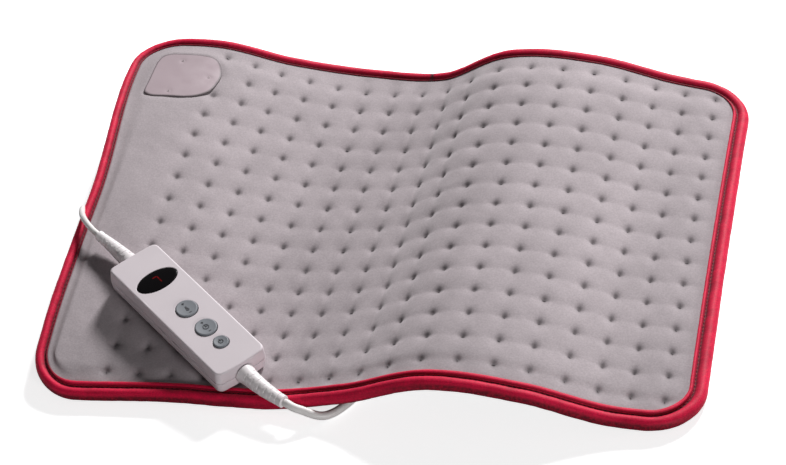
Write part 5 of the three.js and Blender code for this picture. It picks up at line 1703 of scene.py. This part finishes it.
def makeCap(name, x, radius, spec):
    top = housing["height"] / 2 + buttonSpec["rise"]
    low, high = buttonSpec["flangeLow"], buttonSpec["flangeHigh"]
    rounding = buttonSpec["round"]
    rim = radius + spec["flange"]
    profile = [(0, low), (rim, low), (rim, high), (radius, high)]
    profile += [(radius - inset, z) for inset, z in roundLevels(rounding, top, 0, 6)]
    for share in buttonSpec["dishRings"]:
        away = (radius - rounding) * share
        profile.append((away, capTop(radius, away)))
    profile.append((0, capTop(radius, 0)))
    place = controllerFrame @ Matrix.Translation((x, 0, 0))
    cap = lathe(name, profile, buttonSpec["cuts"], place)
    reach, start, end = spec["rodRadius"], spec["rodEnd"], low + buttonSpec["rodOverlap"]
    rodProfile = [(0, start), (reach, start), (reach, end), (0, end)]
    for k, offset in enumerate(spec["rods"]):
        rod = lathe(f"{name}Rod{k}", rodProfile, 24, place @ Matrix.Translation((offset, 0, 0)))
        mergeInto(cap, rod)
    sharpen(cap, 40)
    return cap


def addArc(shell, x, radius, width, start, end, low, high, cuts=28):
    # a flat ring, or a part of one, in degrees
    closed = abs(end - start) >= 360
    steps = cuts if closed else cuts + 1
    inner, outer = radius - width / 2, radius + width / 2
    rings = []
    for reach, z in ((inner, low), (outer, low), (outer, high), (inner, high)):
        ring = []
        for k in range(steps):
            turn = math.radians(start + (end - start) * k / cuts)
            ring.append(Vector((x + reach * math.cos(turn), reach * math.sin(turn), z)))
        rings.append(shell.ring(ring))
    for a, b in zip(rings, rings[1:] + rings[:1]):
        for k in range(steps if closed else steps - 1):
            n = (k + 1) % steps
            shell.faces.append((a[k], a[n], b[n], b[k]))
    if not closed:
        shell.faces.append(tuple(ring[0] for ring in rings))
        shell.faces.append(tuple(ring[-1] for ring in reversed(rings)))


def makeMarks(name, x, radius, kind):
    shell = ShellBuilder()
    low = capTop(radius, radius * 0.35) - printDepth["sink"]
    high = capTop(radius, radius * 0.75) + printDepth["rise"]
    if kind != "power":
        # a plus at the left end and a minus at the right
        half, width = signSpec["half"], signSpec["width"]
        plus, minus = x - radius * signSpec["place"], x + radius * signSpec["place"]
        addBar(shell, (plus - half, 0), (plus + half, 0), width, low, high)
        for place in (plus, minus):
            addBar(shell, (place, -half), (place, half), width, low, high)
    for shape, start, end, *rest in markSpec[kind]:
        if shape == "bar":
            a, b = (x + start[0], start[1]), (x + end[0], end[1])
            addBar(shell, a, b, *rest, low, high)
        else:
            addArc(shell, x + start, end, *rest, low, high)
    return shell.build(name, controllerFrame)


for key, spec in buttons.items():
    x, radius = face[key]
    cap = makeCap(key + "Button", x, radius, spec)
    finishPiece(cap, finish["button"], key + "_button", "button", key + "_button")
    marks = makeMarks(key + "Marks", x, radius, key)
    finishPiece(marks, finish["mark"], key + "_button", "button")
print("buttons set")


# strain reliefs: a neck through the wall, then a slotted cone
reliefSpec = {
    "neck": 0.005,
    "collar": 0.0066,
    "collarDepth": 0.0023,
    "collarGap": 0.0003,
    "base": 0.0063,
    "flare": 0.0006,
    "flareReach": 0.0035,
    "cuts": 120,
    "around": 72,
    "firstSlot": 0.0068,
    "lastSlot": 0.0305,
    "slotPitch": 0.0028,
    "slotWidth": 0.0006,
    "slotDepth": 0.00032,
    "slotReach": 0.52,
    "slotFade": 0.09,
    "slotEdge": 0.00018,
    "beadAt": 0.88,
    "bead": 0.00035,
    "tipWall": 0.0011,
    "swellShare": 0.6,
    "wallGap": 0.0001,
    "footSteps": ((0.0002, 0.0004), (0.0004, 0.0001)),  # out from the wall, in from the foot
    "coneStart": 0.0007,
    "coneLess": 0.0012,
    "tipSteps": ((0.0001, 0.0003), (0, 0.0007)),  # back from the end, in from the tip
}


def reliefRadius(along, length, tip):
    # from the base down to a small bead at the tip
    share = along / length
    base = reliefSpec["base"]
    body = tip + (base - tip) * (1 - share**0.95) ** 0.9 if share < 1 else tip
    body += reliefSpec["flare"] * math.exp(-((along / reliefSpec["flareReach"]) ** 2))
    bead = reliefSpec["beadAt"]
    if share > bead:
        body = tip + reliefSpec["bead"] * math.sin(min(1.0, (share - bead) / 0.02) * math.pi / 2)
    return body


def makeRelief(name, spec, tip, collarShift, wallShift):
    length = spec["length"]
    neck, collar = reliefSpec["neck"], reliefSpec["collar"]
    depth, cuts, around = reliefSpec["collarDepth"], reliefSpec["cuts"], reliefSpec["around"]
    foot = reliefSpec["base"] + reliefSpec["flare"]
    inner = -housing["wall"] - reliefSpec["collarGap"] - collarShift - depth
    levels = [(inner, 0), (inner, collar), (inner + depth, collar), (inner + depth, neck)]
    levels.append((wallShift + reliefSpec["wallGap"], neck))
    levels += [(wallShift + out, foot - less) for out, less in reliefSpec["footSteps"]]
    slotted = len(levels)
    cone = length - wallShift - reliefSpec["coneLess"]
    for k in range(cuts + 1):
        along = wallShift + reliefSpec["coneStart"] + cone * k / cuts
        levels.append((along, reliefRadius(along, length, tip)))
    levels += [(length - back, tip - less) for back, less in reliefSpec["tipSteps"]]
    levels.append((length, 0))
    shell = ShellBuilder()
    rows = []
    for index, (along, radius) in enumerate(levels):
        middle, way = reliefLine(spec, along)
        across = Vector((0, 0, 1)).cross(way).normalized()
        up = way.cross(across)
        if radius == 0:
            rows.append(shell.ring([middle]))
            continue
        ring = []
        for m in range(around):
            turn = 2 * math.pi * m / around
            reach = radius
            if slotted <= index <= slotted + cuts:
                reach -= slotDent(along, turn, radius, tip)
            ring.append(middle + across * reach * math.cos(turn) + up * reach * math.sin(turn))
        rows.append(shell.ring(ring))
    shell.loft(rows)
    return shell.build(name)


def slotDent(along, turn, radius, tip):
    spec = reliefSpec
    if not spec["firstSlot"] - spec["slotPitch"] / 2 < along < spec["lastSlot"]:
        return 0
    number = round((along - spec["firstSlot"]) / spec["slotPitch"])
    off = abs(along - spec["firstSlot"] - number * spec["slotPitch"])
    # four slots go round, and the next four lie an eighth of a turn further
    angle = (turn + (number % 2) * math.pi / 4) % (math.pi / 2) - math.pi / 4
    ends = min(1, max(0, (spec["slotReach"] - abs(angle)) / spec["slotFade"]))
    sides = min(1, max(0, (spec["slotWidth"] / 2 - off) / spec["slotEdge"] + 0.5))
    return min(spec["slotDepth"], (radius - tip) * 0.6 + 0.0003) * (ends * sides)


collarShifts = {
    "mains": housing["rightSwell"] * reliefSpec["swellShare"],
    "pad": housing["leftSwell"] * reliefSpec["swellShare"] - housing["leftReach"],
}
for key, lead, wallShift in (("mains", mainsLead, 0), ("pad", padLead, housing["leftReach"])):
    tip = lead["diameter"] / 2 + reliefSpec["tipWall"]
    relief = makeRelief(key + "Relief", reliefs[key], tip, collarShifts[key], wallShift)
    finishPiece(relief, finish["relief"], "root", "lead", key + "_lead_relief")
print("reliefs moulded")


# the CAD nodes that nothing replaces keep their shape and get their finish
nodeFinish = {
    "fleece_core": "felt",
    "heating_wire": "wire",
    "thermal_fuse": "black",
    "socket_pin_1": "steel",
    "socket_pin_2": "steel",
    "display_module": "black",
    "circuit_board": "board",
    "film_capacitor": "capacitor",
    "triac": "black",
    "mains_fuse": "steel",
    "microcontroller": "black",
    "pad_lead_tie": "tieCloth",
    "mains_lead_tie": "tieCloth",
    "plug_pin_1": "steel",
    "plug_pin_2": "steel",
}
for k in range(5):
    nodeFinish[f"push_switch_{k + 1}"] = "black"
for k in range(4):
    nodeFinish[f"case_screw_{k + 1}"] = "steel"
for node, key in nodeFinish.items():
    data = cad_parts[node].data
    data.materials.clear()
    data.materials.append(finish[key])
print("inner pieces finished")


# floor, lights and world
studio = {
    "floorSize": 6.0,
    "floorColor": (0.86, 0.86, 0.87),
    "floorLift": 0.765,
    "worldLevel": 0.065,
    "key": {"place": (0.69, 2.75, 2.06), "size": 0.75, "power": 176},
    "fill": {"place": (2.5, -2.3, 0.49), "size": 0.7, "power": 48},
}


def makeFloor():
    half = studio["floorSize"] / 2
    corners = [(-half, -half, 0), (half, -half, 0), (half, half, 0), (-half, half, 0)]
    floor = addMesh("floor", corners, [(0, 1, 2, 3)], False)
    material = bpy.data.materials.new("paleFloor")
    material.use_nodes = True
    tree = material.node_tree
    tree.nodes.clear()
    diffuse = tree.nodes.new("ShaderNodeBsdfDiffuse")
    diffuse.inputs["Color"].default_value = (*studio["floorColor"], 1)
    glow = tree.nodes.new("ShaderNodeEmission")
    path = tree.nodes.new("ShaderNodeLightPath")
    amount = tree.nodes.new("ShaderNodeMath")
    amount.operation = "MULTIPLY"
    amount.inputs[1].default_value = studio["floorLift"]
    tree.links.new(path.outputs["Is Camera Ray"], amount.inputs[0])
    tree.links.new(amount.outputs[0], glow.inputs["Strength"])
    both = tree.nodes.new("ShaderNodeAddShader")
    out = tree.nodes.new("ShaderNodeOutputMaterial")
    tree.links.new(diffuse.outputs[0], both.inputs[0])
    tree.links.new(glow.outputs[0], both.inputs[1])
    tree.links.new(both.outputs[0], out.inputs["Surface"])
    floor.data.materials.append(material)


def makeWorld():
    world = bpy.data.worlds.new("studioWorld")
    scene.world = world
    world.use_nodes = True
    tree = world.node_tree
    tree.nodes.clear()
    path = tree.nodes.new("ShaderNodeLightPath")
    seen = tree.nodes.new("ShaderNodeMath")
    seen.operation = "MAXIMUM"
    tree.links.new(path.outputs["Is Camera Ray"], seen.inputs[0])
    tree.links.new(path.outputs["Is Glossy Ray"], seen.inputs[1])
    # dim for what it lights, white where the camera or a gloss sees it
    mix = tree.nodes.new("ShaderNodeMixShader")
    for slot, strength in ((1, studio["worldLevel"]), (2, 1)):
        glow = tree.nodes.new("ShaderNodeBackground")
        glow.inputs["Color"].default_value = (1, 1, 1, 1)
        glow.inputs["Strength"].default_value = strength
        tree.links.new(glow.outputs[0], mix.inputs[slot])
    out = tree.nodes.new("ShaderNodeOutputWorld")
    tree.links.new(seen.outputs[0], mix.inputs["Fac"])
    tree.links.new(mix.outputs[0], out.inputs["Surface"])


def makeLamp(name, spec):
    data = bpy.data.lights.new(name, "AREA")
    data.shape = "DISK"
    data.size = spec["size"]
    data.energy = spec["power"]
    lamp = bpy.data.objects.new(name, data)
    scene.collection.objects.link(lamp)
    place = Vector(spec["place"])
    lamp.location = place
    lamp.rotation_euler = (-place).to_track_quat("-Z", "Y").to_euler()


makeFloor()
makeWorld()
makeLamp("keyLamp", studio["key"])
makeLamp("fillLamp", studio["fill"])
print("studio lit")
